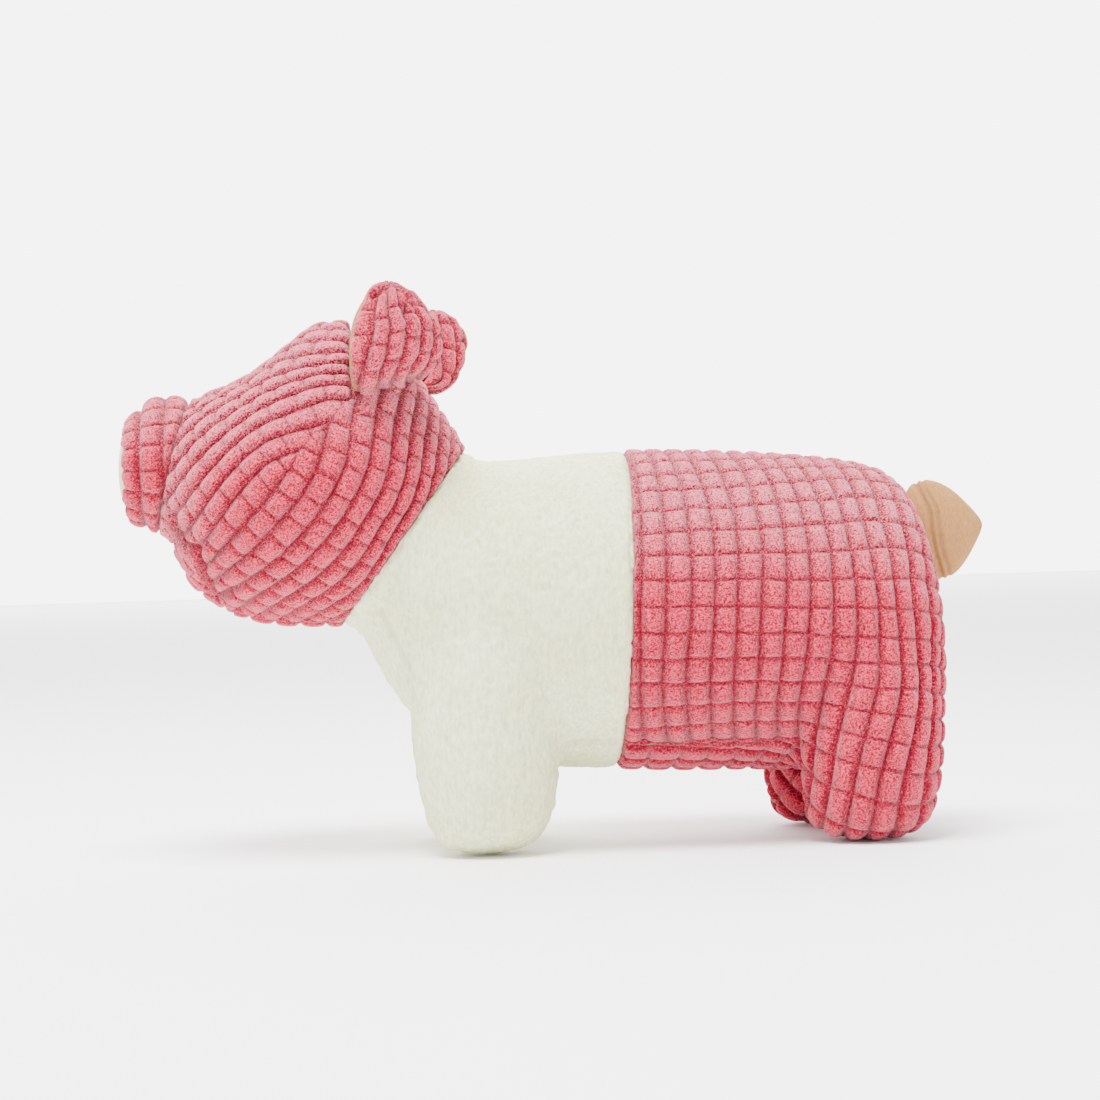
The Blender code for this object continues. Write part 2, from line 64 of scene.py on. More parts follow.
HEAD_RING_SHARES = (
    (0.08, 0.76, 0.02, 0.27, 0.30),
    (0.25, 0.765, 0.12, 0.11, 0.43),
    (0.445, 0.895, 0.28, 0.028, 0.49),
    (0.575, 1.03, 0.42, 0.008, 0.51),
    (0.81, 0.91, 0.53, 0.008, 0.49),
    (0.95, 0.66, 0.60, 0.01, 0.42),
    (1.12, 0.44, 0.76, -0.04, 0.30),
)
SNOUT_RING_SHARES = (
    (0.16, 0.87, 0.00, 0.07, 0.38),
    (0.46, 1.00, 0.25, -0.01, 0.50),
    (0.65, 0.95, 0.74, 0.01, 0.48),
    (0.83, 0.84, 0.93, 0.11, 0.42),
    (0.925, 0.77, 0.965, 0.33, 0.32),
)
# Rings of a leg from its top inside the body: height, half length, half width, forward, drawn inward.
LEG_RING_SHARES = (
    (1.20, 0.39, 0.49, 0.00, 0.08),
    (0.90, 0.47, 0.52, 0.02, 0.03),
    (0.60, 0.50, 0.53, 0.02, 0.00),
    (0.34, 0.475, 0.53, 0.00, 0.00),
    (0.16, 0.435, 0.48, 0.01, 0.00),
    (0.00, 0.31, 0.34, 0.03, 0.00),
)
HIND_LEG_RING_SHARES = (
    (1.20, 0.38, 0.49, 0.00, 0.08),
    (0.90, 0.45, 0.52, 0.00, 0.03),
    (0.60, 0.49, 0.53, 0.01, 0.00),
    (0.34, 0.48, 0.53, 0.03, 0.00),
    (0.16, 0.455, 0.49, 0.05, 0.00),
    (0.00, 0.38, 0.38, 0.07, 0.00),
)
# Tail rings: along, top height, bottom height, half thickness.
TAIL_RING_SHARES = (
    (-0.14, 0.36, -0.34, 0.24),
    (0.06, 0.485, -0.45, 0.44),
    (0.20, 0.51, -0.51, 0.52),
    (0.42, 0.47, -0.49, 0.50),
    (0.64, 0.36, -0.38, 0.42),
    (0.84, 0.18, -0.21, 0.28),
    (1.00, 0.01, -0.06, 0.09),
)
# Creases across the tail: distance behind its seam, depth.
TAIL_CREASES = ((0.0046, 0.0008), (0.0072, 0.0006))
# Ear rows from the root up, as the photograph shows them: front edge across and down, rear fold across
# and down, distance from the midline, half spread of the cup.
LEFT_EAR_ROWS = (
    (376, 396, 424, 372, 0.0230, 0.0020),
    (356, 395, 436, 369, 0.0305, 0.0095),
    (353, 366, 442, 352, 0.0345, 0.0125),
    (354, 332, 438, 323, 0.0355, 0.0120),
    (360, 313, 422, 308, 0.0350, 0.0105),
    (368, 301, 414, 298, 0.0345, 0.0095),
    (371, 292, 408, 290, 0.0340, 0.0080),
    (376, 286, 401, 285, 0.0340, 0.0055),
    (383, 282, 395, 282, 0.0340, 0.0022),
    (387, 283, 391, 283, 0.0340, 0.0004),
)
# The fold under the near ear's tip, across and down in the photograph.
EAR_FOLD = ((373, 299), (381, 292), (388, 287), (394, 285), (401, 289), (406, 300), (404, 316))
RIGHT_EAR_ROWS = (
    (404, 385, 430, 392, 0.0190, 0.0020),
    (400, 372, 450, 386, 0.0260, 0.0095),
    (403, 352, 465, 361, 0.0290, 0.0115),
    (409, 335, 465, 340, 0.0295, 0.0110),
    (417, 323, 458, 326, 0.0290, 0.0090),
    (424, 315, 449, 317, 0.0285, 0.0065),
    (430, 311, 443, 312, 0.0285, 0.0040),
    (435, 312, 440, 313, 0.0285, 0.0008),
)
# Ear columns from the front edge round the back: share of the row's length, share of its spread, number
# of the cord's groove.
EAR_COLUMNS = (
    (0.00, 0.80, 0.05),
    (0.20, 1.08, 0.95),
    (0.60, 1.05, 2.85),
    (0.93, 0.50, 4.70),
    (1.00, -0.10, 5.80),
    (0.78, -0.80, 7.20),
    (0.38, -0.95, 8.40),
    (0.08, -0.75, 9.40),
)
# Corners of each ring, and how much larger it is made because subdivision draws it in again.
RING_SIDES = 8
RING_SWELL = 6.0 / (4.0 + 2.0 * math.cos(2.0 * math.pi / RING_SIDES))
# Where the legs stand: along the torso on the near and the far side, out from the midline, as shares.
FRONT_LEG_PLACE = (0.249, 0.249, 0.295)
HIND_LEG_PLACE = (0.857, 0.838, 0.285)
# The cloth is simulated at this many times its size, because Blender's cloth suits pieces of metres. It
# starts drawn in by a share of its swell.
CLOTH_SCALE = 20.0
CLOTH_PRESSURE = 4.0
CLOTH_FRAMES = 20
SLACK_SHARE = 0.75

SIDEWAYS = Vector((0.0, 1.0, 0.0))
UPWARD = Vector((0.0, 0.0, 1.0))
# Tops and bottoms of the seam planes: shares of the torso's or the snout's size, or places in metres.
NECK_SEAM = ((0.228, 1.007), (0.032, 0.588))
WAIST_SEAM = ((0.487, 1.0), (0.452, 0.0))
MUZZLE_SEAM = ((-0.1245, 0.0, 0.160), (-0.1375, 0.0, 0.113))
SNOUT_WAIST = ((0.46, 1.0), (0.25, 0.0))
FACE_SEAM = (0.880, 0.5)
CHIN_SEAM_RISE = 0.031
CHEST_SEAM_SHARE = 0.62
BELLY_SEAM_HEIGHT = 0.045
# The cheek dart's ends, how far past its foot it is sewn, and how near the midline it comes.
DART_FOOT = (-0.0525, 0.0, 0.157)
DART_TIP = (-0.0708, 0.0, 0.138)
DART_SHARE = 1.3
DART_INSIDE = 0.02
# How far a seam draws the pile down, how deep the mouth seam is, and how far a piece's rim turns inward.
SEAM_REACH = 0.0012
MOUTH_DEPTH = 0.0012
RIM_DEPTH = 0.003
# A distance beyond every seam.
FAR_AWAY = 1.0

PANELS = ("snout_face", "snout_band", "left_cheek", "right_cheek", "chin", "left_shoulder",
          "right_shoulder", "chest", "left_flank", "right_flank", "belly")
# The panels that each piece is sewn from, and the frame's nodes that it stands for.
PIECES = {
    "snout_face_skin": (("snout_face",), ("snout_face",)),
    "snout_band_skin": (("snout_band",), ("snout_band",)),
    "head_skin": (("left_cheek", "right_cheek", "chin"),
                  ("left_cheek_panel", "right_cheek_panel", "chin_gusset", "head_filling")),
    "front_skin": (("left_shoulder", "right_shoulder", "chest"),
                   ("left_shoulder_panel", "right_shoulder_panel", "front_belly_gusset",
                    "left_front_leg_cover", "right_front_leg_cover", "body_filling")),
    "rear_skin": (("left_flank", "right_flank", "belly"),
                  ("left_flank_panel", "right_flank_panel", "rear_belly_gusset",
                   "left_hind_leg_cover", "right_hind_leg_cover")),
}
# Scale of each soft cloth's grain, and the height of its pile.
SOFT_PILES = {"ivory_pile": (750.0, 0.0010), "beige_velvet": (1400.0, 0.0002), "pale_velvet": (1400.0, 0.0002)}
# How far an ear's root is turned forward, by how many ribs it is gathered, the depth of its fold, the room
# between its layers, and by how many pixels of the photograph its lining shows at the front.
EAR_TURN = 0.0055
EAR_GATHER = 1.1
EAR_FOLD_DEPTH = 0.0007
EAR_ROOM = 0.0008
LINING_SHOWS = 4.0
# The studio's lamps: name, place, size, power. They face the toy.
LAMPS = (
    ("key", (-0.25, -0.32, 1.5), 0.7, 88.0),
    ("fill", (0.4, -1.6, 0.5), 1.4, 5.0),
    ("backdrop", (0.0, 5.0, 2.5), 5.0, 420.0),
)
# Strength of the white background.
WHITE = 6.5
# Where grooves of the cord lie in the photograph, on the near side: across, down, number of the groove.
FLANK_GROOVES = (
    (655, 470, 1), (694, 470, 3), (740, 470, 5), (781, 470, 7), (818, 470, 9), (856, 470, 11),
    (664, 520, 1), (711, 520, 3), (758, 520, 5), (804, 520, 7), (844, 520, 9), (880, 520, 11),
    (642, 600, 0), (691, 600, 2), (738, 600, 4), (785, 600, 6), (834, 600, 8), (878, 600, 10), (911, 600, 12),
    (641, 680, 0), (687, 680, 2), (735, 680, 4), (780, 680, 6), (825, 680, 8), (879, 680, 10), (918, 680, 12),
    (643, 740, 0), (691, 740, 2), (736, 740, 4), (779, 740, 6), (815, 745, 8), (866, 740, 10), (912, 740, 12),
    (804, 795, 8), (852, 800, 10), (899, 800, 12), (921, 800, 13),
)
FOREHEAD_GROOVES = (
    (325, 332, -6), (300, 347, -5), (345, 344, -5), (280, 363, -4), (310, 358, -4), (347, 355, -4),
    (250, 393, -3), (280, 377, -3), (318, 368, -3), (350, 366, -3), (228, 418, -2), (250, 404, -2),
    (271, 392, -2), (212, 448, -1), (232, 430, -1), (262, 410, -1), (300, 393, -1), (330, 384, -1),
    (177, 513, 0), (196, 490, 0), (212, 470, 0), (242, 438, 0), (287, 415, 0), (331, 399, 0),
    (192, 527, 1), (216, 491, 1), (244, 459, 1), (273, 437, 1), (318, 428, 1),
    (201, 546, 2), (232, 502, 2), (257, 474, 2), (285, 457, 2),
    (225, 546, 3), (246, 519, 3), (270, 500, 3), (286, 473, 3),
)
CHEEK_GROOVES = (
    (225, 546, 3), (246, 519, 3), (270, 500, 3), (286, 473, 3),
    (238, 560, 4), (262, 540, 4), (283, 517, 4), (303, 490, 4), (321, 460, 4), (328, 425, 4),
    (233, 587, 5), (262, 570, 5), (285, 550, 5), (308, 529, 5), (331, 495, 5), (345, 462, 5), (352, 420, 5),
    (245, 602, 6), (282, 578, 6), (320, 546, 6), (348, 508, 6), (368, 470, 6), (374, 425, 6),
    (262, 611, 7), (300, 588, 7), (340, 553, 7), (368, 515, 7), (388, 470, 7), (392, 435, 7),
    (310, 600, 8), (345, 575, 8), (370, 545, 8), (392, 512, 8), (405, 475, 8), (409, 440, 8),
    (355, 590, 9), (395, 525, 9), (412, 500, 9), (423, 440, 9), (436, 450, 10), (449, 450, 11),
)
# The seam at the mouth, and the line from the ear along the dart that parts the forehead from the cheek.
MOUTH_SEAM = ((175, 513), (178, 528), (185, 540), (200, 548), (203, 562), (209, 580), (219, 594), (231, 589))
DART_LINE = ((352, 250), (352, 398), (300, 452), (286, 473), (270, 500), (246, 519), (225, 546))
PHOTO_SIZE = 1100
PHOTO_LENS, PHOTO_SENSOR = 84.4, 36.0
# Pixels of the photograph to a slope of 1 away from its middle.
PHOTO_REACH = PHOTO_SIZE * PHOTO_LENS / PHOTO_SENSOR
# Size of the photograph's pixel at the toy, in metres.
PIXEL = 0.00035
# How closely the cord's numbers follow the grooves that were read, and the cuts their right angles.
GROOVE_EASE = 0.5
CUT_EASE = 0.02
# Where the ribs round the snout start before its face's seam.
SNOUT_RIB_START = 0.0022

# Direction of the ribs in each flattened panel: a place on the toy and the way they run there.
RIB_GUIDES = {
    "left_flank": ((0.055, -0.049, 0.085), (0.0, 0.0, -1.0)),
    "right_flank": ((0.055, 0.049, 0.085), (0.0, 0.0, -1.0)),
    "belly": ((0.055, 0.0, 0.03), (1.0, 0.0, 0.0)),
    "left_cheek": ((-0.100, -0.04, 0.122), (0.73, 0.0, 0.68)),
    "right_cheek": ((-0.100, 0.04, 0.122), (0.73, 0.0, 0.68)),
    "chin": ((-0.090, 0.0, 0.08), (1.0, 0.0, 0.0)),
}
# How many triangles round a guide's place give its direction.
GUIDE_TRIANGLES = 60


def length(name, description, default, least=0.0):
    """Return a length property in metres."""
    return FloatProperty(name=name, description=description, default=default, min=least, unit="LENGTH",
                         subtype="DISTANCE", precision=5)


def colour(name, description, default):
    """Return a colour property."""
    return FloatVectorProperty(name=name, description=description, default=default, size=3, min=0.0,
                               max=1.0, subtype="COLOR")


class PlushPigSizes(bpy.types.PropertyGroup):
    """Sizes of the toy's stuffed forms and of its fabrics."""

    torso_front: length("Torso front", "Where the torso's form starts along X", -0.0815, -1.0)
    torso_length: length("Torso length", "Length of the torso's form", 0.217)
    back_height: length("Back height", "Height of the back above the floor", 0.136)
    torso_width: length("Torso width", "Width of the torso", 0.098)
    head_front: length("Head front", "Where the head's form starts along X", -0.1375, -1.0)
    head_length: length("Head length", "Length of the head's form", 0.104)
    head_bottom: length("Head bottom", "Height of the chin above the floor", 0.078)
    head_height: length("Head height", "Height of the head's form", 0.107)
    head_width: length("Head width", "Width of the head", 0.098)
    snout_reach: length("Snout reach", "How far the snout stands before the head", 0.0144)
    snout_length: length("Snout length", "Length of the snout's form", 0.036)
    snout_rise: length("Snout rise", "Height of the snout's underside above the chin", 0.0335)
    snout_diameter: length("Snout diameter", "Diameter of the snout", 0.0495)
    front_leg_length: length("Front leg length", "Front leg from front to back", 0.0505)
    front_leg_width: length("Front leg width", "Front leg from side to side", 0.038)
    hind_leg_length: length("Hind leg length", "Hind leg from front to back", 0.050)
    hind_leg_width: length("Hind leg width", "Hind leg from side to side", 0.040)
    leg_height: length("Leg height", "Height of the legs' forms, up into the body", 0.071)
    gusset_width: length("Gusset width", "Width of the belly gussets between the legs", 0.054)
    chin_width: length("Chin gusset width", "Width of the gusset under the chin", 0.022)
    ear_wall: length("Ear wall", "Thickness of an ear's corduroy", 0.0012)
    ear_lining: length("Ear lining", "Thickness of an ear's lining", 0.0010)
    tail_length: length("Tail length", "Length of the tail", 0.024)
    tail_height: length("Tail height", "Height of the tail", 0.036)
    tail_thickness: length("Tail thickness", "Thickness of the tail", 0.012)
    weave: length("Cloth mesh", "Edge of the cloth mesh before it is refined", 0.0028)
    wale_pitch: length("Wale pitch", "Spacing of the cord's ribs", 0.0082)
    block_pitch: length("Block pitch", "Spacing of the cuts across the cord's ribs", 0.0088)
    groove_width: length("Groove width", "Width of the grooves between the cord's ribs", 0.0010)
    cut_width: length("Cut width", "Width of the cuts across the cord's ribs", 0.0006)
    snout_rib_pitch: length("Snout rib pitch", "Spacing of the ribs round the snout", 0.0080)
    pile_height: length("Pile height", "Height of the cord's blocks above their backing", 0.0021)
    swell: length("Swell", "Most that the stuffing's pressure swells the cloth", 0.0014)
    seam_depth: length("Seam depth", "How deep the sewn seams draw the cloth in", 0.0005)


class PlushPigColours(bpy.types.PropertyGroup):
    """Colours of the toy's fabrics, and of the stage."""

    # The cord's tones from its tops to its grooves: its own colours, darkened at the sides and in the grooves
    # by painted shade.
    cord_top: colour("Cord top", "Tops of the pink blocks", (0.72, 0.062, 0.110))
    cord_side: colour("Cord side", "Sides of the pink blocks", (0.37, 0.012, 0.036))
    cord_groove: colour("Cord groove", "Backing between the pink blocks", (0.16, 0.003, 0.014))
    # A painted highlight: pale pink mixed into the cord where it faces upward, behind the muzzle and evenly on
    # the ears.
    cord_brushed: colour("Brushed cord", "Pile brushed pale on top of the toy", (0.88, 0.37, 0.44))
    ivory: colour("Ivory pile", "Short pile of the front", (0.82, 0.85, 0.56))
    beige: colour("Beige velvet", "Smooth cloth of the tail and the ear linings", (0.43, 0.215, 0.085))
    pale_beige: colour("Pale beige velvet", "Smooth cloth of the snout's face", (0.78, 0.70, 0.50))
    floor: colour("Floor", "Floor and backdrop", (0.93, 0.93, 0.93))


def torso_point(sizes, along, height):
    """Return a point of the midline plane, as shares of the torso's length and height."""
    return Vector((sizes.torso_front + along * sizes.torso_length, 0.0, height * sizes.back_height))


def head_point(sizes, along, height):
    """Return a point of the midline plane, as shares of the head's length and height."""
    return Vector((sizes.head_front + along * sizes.head_length, 0.0,
                   sizes.head_bottom + height * sizes.head_height))


def snout_point(sizes, along, height):
    """Return a point of the midline plane, counted from the snout's root towards its face."""
    root = sizes.head_front - sizes.snout_reach + sizes.snout_length
    return Vector((root - along * sizes.snout_length, 0.0,
                   sizes.head_bottom + sizes.snout_rise + height * sizes.snout_diameter))


def add_tube(bm, places):
    """Add a closed tube through rings, each given by the matrix that places a unit circle."""
    loops = []
    for place in places:
        capped = place is places[0] or place is places[-1]
        ring = bmesh.ops.create_circle(bm, cap_ends=capped, radius=1.0, segments=RING_SIDES, matrix=place)
        corners = set(ring["verts"])
        loops.append([e for e in bm.edges if e.verts[0] in corners and e.verts[1] in corners])
    for near, far in zip(loops, loops[1:]):
        bmesh.ops.bridge_loops(bm, edges=near + far)


def ring_place(top, bottom, half_width):
    """Return the matrix of an upright ring from its top and its bottom."""
    upward = (top - bottom) / 2.0 * RING_SWELL
    sideways = Vector((0.0, half_width * RING_SWELL, 0.0))
    place = Matrix((upward, sideways, upward.cross(sideways).normalized())).transposed().to_4x4()
    place.translation = (top + bottom) / 2.0
    return place


def add_form(bm, shares, point, sizes, width):
    """Add a stuffed form whose rings are shares of the sizes that point() works with."""
    add_tube(bm, [ring_place(point(sizes, top, up), point(sizes, bottom, down), half * width)
                  for top, up, bottom, down, half in shares])


def add_leg(bm, shares, centre, side, long, wide, tall):
    """Add the form of a leg, from its top inside the body to its sole."""
    places = []
    for height, half_length, half_width, forward, inward in shares:
        place = Matrix.Diagonal((half_length * long * RING_SWELL, half_width * wide * RING_SWELL, 1.0, 1.0))
        place.translation = (centre.x - forward * long, centre.y - side * inward * wide, height * tall)
        places.append(place)
    add_tube(bm, places)


def refine(obj, levels):
    """Add a subdivision modifier, and return it."""
    modifier = obj.modifiers.new("rounding", "SUBSURF")
    modifier.levels = modifier.render_levels = levels
    return modifier


def applied(obj):
    """Return the object's mesh with its modifiers applied, and remove the object."""
    bpy.context.view_layer.update()
    mesh = bpy.data.meshes.new_from_object(obj.evaluated_get(bpy.context.evaluated_depsgraph_get()))
    bpy.data.objects.remove(obj)
    return mesh


def add_object(name, data):
    """Return a new object of this mesh, light or camera, linked to the scene."""
    obj = bpy.data.objects.new(name, data)
    bpy.context.scene.collection.objects.link(obj)
    return obj


def mesh_of(bm, name):
    """Return a mesh made from the bmesh as it is, which is freed."""
    mesh = bpy.data.meshes.new(name)
    bm.to_mesh(mesh)
    bm.free()
    return mesh


def outward_mesh(bm, name):
    """Return a mesh made from the bmesh, with its faces turned outward."""
    bmesh.ops.recalc_face_normals(bm, faces=bm.faces)
    return mesh_of(bm, name)


def stuffed_mesh(sizes):
    """Return the closed skin of the head, snout, body and legs as one even mesh."""
    bm = bmesh.new()
    add_form(bm, TORSO_RING_SHARES, torso_point, sizes, sizes.torso_width)
    add_form(bm, HEAD_RING_SHARES, head_point, sizes, sizes.head_width)
    add_form(bm, SNOUT_RING_SHARES, snout_point, sizes, sizes.snout_diameter)
    for side in (-1.0, 1.0):
        for shares, (near, far, out), long, wide in (
                (LEG_RING_SHARES, FRONT_LEG_PLACE, sizes.front_leg_length, sizes.front_leg_width),
                (HIND_LEG_RING_SHARES, HIND_LEG_PLACE, sizes.hind_leg_length, sizes.hind_leg_width)):
            centre = torso_point(sizes, near if side < 0.0 else far, 0.0)
            centre.y = side * out * sizes.torso_width
            add_leg(bm, shares, centre, side, long, wide, sizes.leg_height)
    stuffing = add_object("stuffing", outward_mesh(bm, "stuffing"))
    refine(stuffing, 3)
    even = stuffing.modifiers.new("even", "REMESH")
    even.mode = "VOXEL"
    even.voxel_size = sizes.weave
    return applied(stuffing)


def upright_plane(top, bottom):
    """Return a point and the rearward normal of a plane that holds the Y direction."""
    return bottom, SIDEWAYS.cross(top - bottom).normalized()


def is_behind(plane, place):
    """Return whether a place lies behind a plane."""
    return (place - plane[0]).dot(plane[1]) > 0.0


class Seams:
    """The planes that the panels are sewn along."""

    def __init__(self, sizes):
        self.sizes = sizes
        self.neck = upright_plane(*(torso_point(sizes, *end) for end in NECK_SEAM))
        self.waist = upright_plane(*(torso_point(sizes, *end) for end in WAIST_SEAM))
        self.muzzle = upright_plane(*(Vector(end) for end in MUZZLE_SEAM))
        face = snout_point(sizes, *FACE_SEAM)
        root = sum((snout_point(sizes, *end) for end in SNOUT_WAIST), Vector()) / 2.0
        self.face = (face, (root - face).normalized())
        self.dart_foot, self.dart_tip = Vector(DART_FOOT), Vector(DART_TIP)

    def panel(self, place):
        """Return the number of the panel that a place of the skin belongs to."""
        sizes = self.sizes
        left = place.y < 0.0
        if not is_behind(self.face, place) and not is_behind(self.neck, place):
            return PANELS.index("snout_face")
        if not is_behind(self.muzzle, place):
            return PANELS.index("snout_band")
        if not is_behind(self.neck, place):
            if abs(place.y) < sizes.chin_width / 2.0 and place.z < sizes.head_bottom + CHIN_SEAM_RISE:
                return PANELS.index("chin")
            return PANELS.index("left_cheek" if left else "right_cheek")
        if not is_behind(self.waist, place):
            if abs(place.y) < sizes.gusset_width / 2.0 and place.z < CHEST_SEAM_SHARE * sizes.back_height:
                return PANELS.index("chest")
            return PANELS.index("left_shoulder" if left else "right_shoulder")
        if abs(place.y) < sizes.gusset_width / 2.0 and place.z < BELLY_SEAM_HEIGHT:
            return PANELS.index("belly")
        return PANELS.index("left_flank" if left else "right_flank")

    def on_dart(self, place):
        """Return whether a place lies beside the cheek dart's length."""
        along = (self.dart_foot - self.dart_tip).normalized()
        share = (place - self.dart_tip).dot(along) / (self.dart_foot - self.dart_tip).length
        return 0.0 < share < DART_SHARE and abs(place.y) > DART_INSIDE and not is_behind(self.neck, place)


def cut_along(bm, plane, reach, within):
    """Lay the cloth's edges along a seam plane, where within() is true of a face's centre.

    The corners and edges are kept in their order, so that each run gives the same mesh.
    """
    point, normal = plane
    faces = [f for f in bm.faces if within(f.calc_center_median())]
    corners = dict.fromkeys(v for f in faces for v in f.verts)
    for vert in corners:
        off = (vert.co - point).dot(normal)
        if abs(off) < reach:
            vert.co -= normal * off
    edges = dict.fromkeys(e for f in faces for e in f.edges)
    bmesh.ops.bisect_plane(bm, geom=[*corners, *edges, *faces], dist=reach / 100.0, plane_co=point,
                           plane_no=normal)


def smoothed(mesh):
    """Return the mesh as a bmesh, with the steps of its remesh smoothed out."""
    bm = bmesh.new()
    bm.from_mesh(mesh)
    for _ in range(6):
        bmesh.ops.smooth_vert(bm, verts=bm.verts, factor=0.5, use_axis_x=True, use_axis_y=True,
                              use_axis_z=True)
    return bm


def stuffed_tight(mesh, sizes, seams):
    """Return the skin after pressure has swollen the cloth between its seams, which hold still."""
    bm = smoothed(mesh)
    for vert in bm.verts:
        vert.co -= vert.normal * sizes.swell * SLACK_SHARE
    number = {f: seams.panel(f.calc_center_median()) for f in bm.faces}
    sewn = [v.index for v in bm.verts if len({number[f] for f in v.link_faces}) > 1]
    rest = np.array([v.co for v in bm.verts])
    bmesh.ops.scale(bm, vec=(CLOTH_SCALE, CLOTH_SCALE, CLOTH_SCALE), verts=bm.verts)
    obj = add_object("tight", outward_mesh(bm, "tight"))
    obj.vertex_groups.new(name="sewn").add(sewn, 1.0, "REPLACE")
    pressed = obj.modifiers.new("stuffing", "CLOTH")
    pressed.settings.use_pressure = True
    pressed.settings.uniform_pressure_force = CLOTH_PRESSURE
    pressed.settings.effector_weights.gravity = 0.0
    pressed.settings.vertex_group_mass = "sewn"
    pressed.point_cache.frame_start = 1
    pressed.point_cache.frame_end = CLOTH_FRAMES
    for step in range(1, CLOTH_FRAMES + 1):
        bpy.context.scene.frame_set(step)
    swollen = obj.evaluated_get(bpy.context.evaluated_depsgraph_get()).data
    moved = vectors(swollen.vertices) / CLOTH_SCALE - rest
    bpy.context.scene.frame_set(1)
    bpy.data.objects.remove(obj)
    far = np.linalg.norm(moved, axis=1, keepdims=True)
    moved *= sizes.swell * np.tanh(far / sizes.swell) / np.maximum(far, 1e-9)
    bm = bmesh.new()
    bm.from_mesh(mesh)
    for vert, place in zip(bm.verts, rest + moved):
        vert.co = place
    return bm


def panelled_mesh(sizes, seams):
    """Return the skin with its edges laid along the seams and each face numbered by its panel."""
    even = stuffed_mesh(sizes)
    bm = stuffed_tight(even, sizes, seams)
    reach = sizes.weave * 0.3
    cut_along(bm, seams.neck, reach, lambda c: True)
    cut_along(bm, seams.muzzle, reach, lambda c: not is_behind(seams.neck, c))
    cut_along(bm, seams.face, reach, lambda c: not is_behind(seams.neck, c))
    cut_along(bm, seams.waist, reach, lambda c: is_behind(seams.neck, c))
    cut_along(bm, (Vector(), SIDEWAYS), reach, lambda c: True)
    for side in (-1.0, 1.0):
        for width, rearward in ((sizes.gusset_width, True), (sizes.chin_width, False)):
            cut_along(bm, (SIDEWAYS * side * width / 2.0, SIDEWAYS), reach,
                      lambda c: is_behind(seams.neck, c) == rearward and c.y * side > 0.0)
    cut_along(bm, (UPWARD * BELLY_SEAM_HEIGHT, UPWARD), reach,
              lambda c: is_behind(seams.waist, c) and abs(c.y) < sizes.gusset_width / 2.0)
    dart = (seams.dart_tip, SIDEWAYS.cross(seams.dart_foot - seams.dart_tip).normalized())
    cut_along(bm, dart, reach, seams.on_dart)
    panel = bm.faces.layers.int.new("panel")
    for face in bm.faces:
        face[panel] = seams.panel(face.calc_center_median())
    for edge in bm.edges:
        numbers = {f[panel] for f in edge.link_faces}
        on_dart = all(abs((v.co - dart[0]).dot(dart[1])) < reach / 50.0 for v in edge.verts) and \
            seams.on_dart((edge.verts[0].co + edge.verts[1].co) / 2.0)
        edge.seam = len(numbers) > 1 or on_dart
    return outward_mesh(bm, "skin")


def flatten_panels(obj):
    """Unwrap the panels, cut apart at the seams."""
    bpy.ops.object.select_all(action="DESELECT")
    obj.select_set(True)
    bpy.context.view_layer.objects.active = obj
    bpy.ops.object.mode_set(mode="EDIT")
    bpy.ops.mesh.select_all(action="SELECT")
    bpy.ops.uv.unwrap(method="ANGLE_BASED", margin=0.0)
    bpy.ops.object.mode_set(mode="OBJECT")


def read(collection, name, width, kind=float):
    """Return a property of all items as an array."""
    values = np.empty(len(collection) * width, dtype=np.float32 if kind is float else np.int32)
    collection.foreach_get(name, values)
    values = values.reshape(-1, width) if width > 1 else values
    return values.astype(float) if kind is float else values


def vectors(collection, name="co"):
    """Return a vector property of all items as an array."""
    return read(collection, name, 3)


def place_vertices(mesh, places):
    """Move the mesh's vertices to these places."""
    mesh.vertices.foreach_set("co", places.astype(np.float32).ravel())


def store(mesh, **layers):
    """Keep arrays of one value for each vertex as attributes of the mesh."""
    for name, values in layers.items():
        layer = mesh.attributes.get(name) or mesh.attributes.new(name, "FLOAT", "POINT")
        layer.data.foreach_set("value", values.astype(np.float32))


def loop_panels(mesh):
    """Return the number of the panel that each face corner belongs to."""
    panel = read(mesh.attributes["panel"].data, "value", 1, int)
    return np.repeat(panel, read(mesh.polygons, "loop_total", 1, int))


def scale_panels(mesh):
    """Give each flattened panel its real size in metres, with its ribs along V at its guide."""
    places = vectors(mesh.vertices)
    corner_vert = read(mesh.loops, "vertex_index", 1, int)
    mesh.calc_loop_triangles()
    corners = read(mesh.loop_triangles, "loops", 3, int)
    flat = read(mesh.uv_layers.active.uv, "vector", 2)
    loop_panel = loop_panels(mesh)
    for number, name in enumerate(PANELS):
        chosen = corners[loop_panel[corners[:, 0]] == number]
        if not len(chosen):
            raise ValueError(f"the skin has no {name} panel")
        p = places[corner_vert[chosen]]
        q = flat[chosen]
        across, along = p[:, 1] - p[:, 0], p[:, 2] - p[:, 0]
        flat_across, flat_along = q[:, 1] - q[:, 0], q[:, 2] - q[:, 0]
        area = np.linalg.norm(np.cross(across, along), axis=1) / 2.0
        signed = (flat_across[:, 0] * flat_along[:, 1] - flat_across[:, 1] * flat_along[:, 0]) / 2.0
        scale = math.sqrt(area.sum() / abs(signed).sum())
        rows = loop_panel == number
        if name not in RIB_GUIDES:
            flat[rows] *= scale
            continue
        place, way = (np.array(v) for v in RIB_GUIDES[name])
        near = np.argsort(((p.mean(axis=1) - place) ** 2).sum(axis=1))[:GUIDE_TRIANGLES]
        total = np.zeros(2)
        for k in near:
            share = np.linalg.lstsq(np.stack([across[k], along[k]], axis=1), way, rcond=None)[0]
            total += share[0] * flat_across[k] + share[1] * flat_along[k]
        total /= np.linalg.norm(total)
        turn = np.array([[total[1], -total[0]], [total[0], total[1]]])
        flat[rows] = (flat[rows] @ turn.T) * scale
        flat[rows] -= (q[near[0]].mean(axis=0) @ turn.T) * scale
    mesh.uv_layers.active.uv.foreach_set("vector", flat.astype(np.float32).ravel())


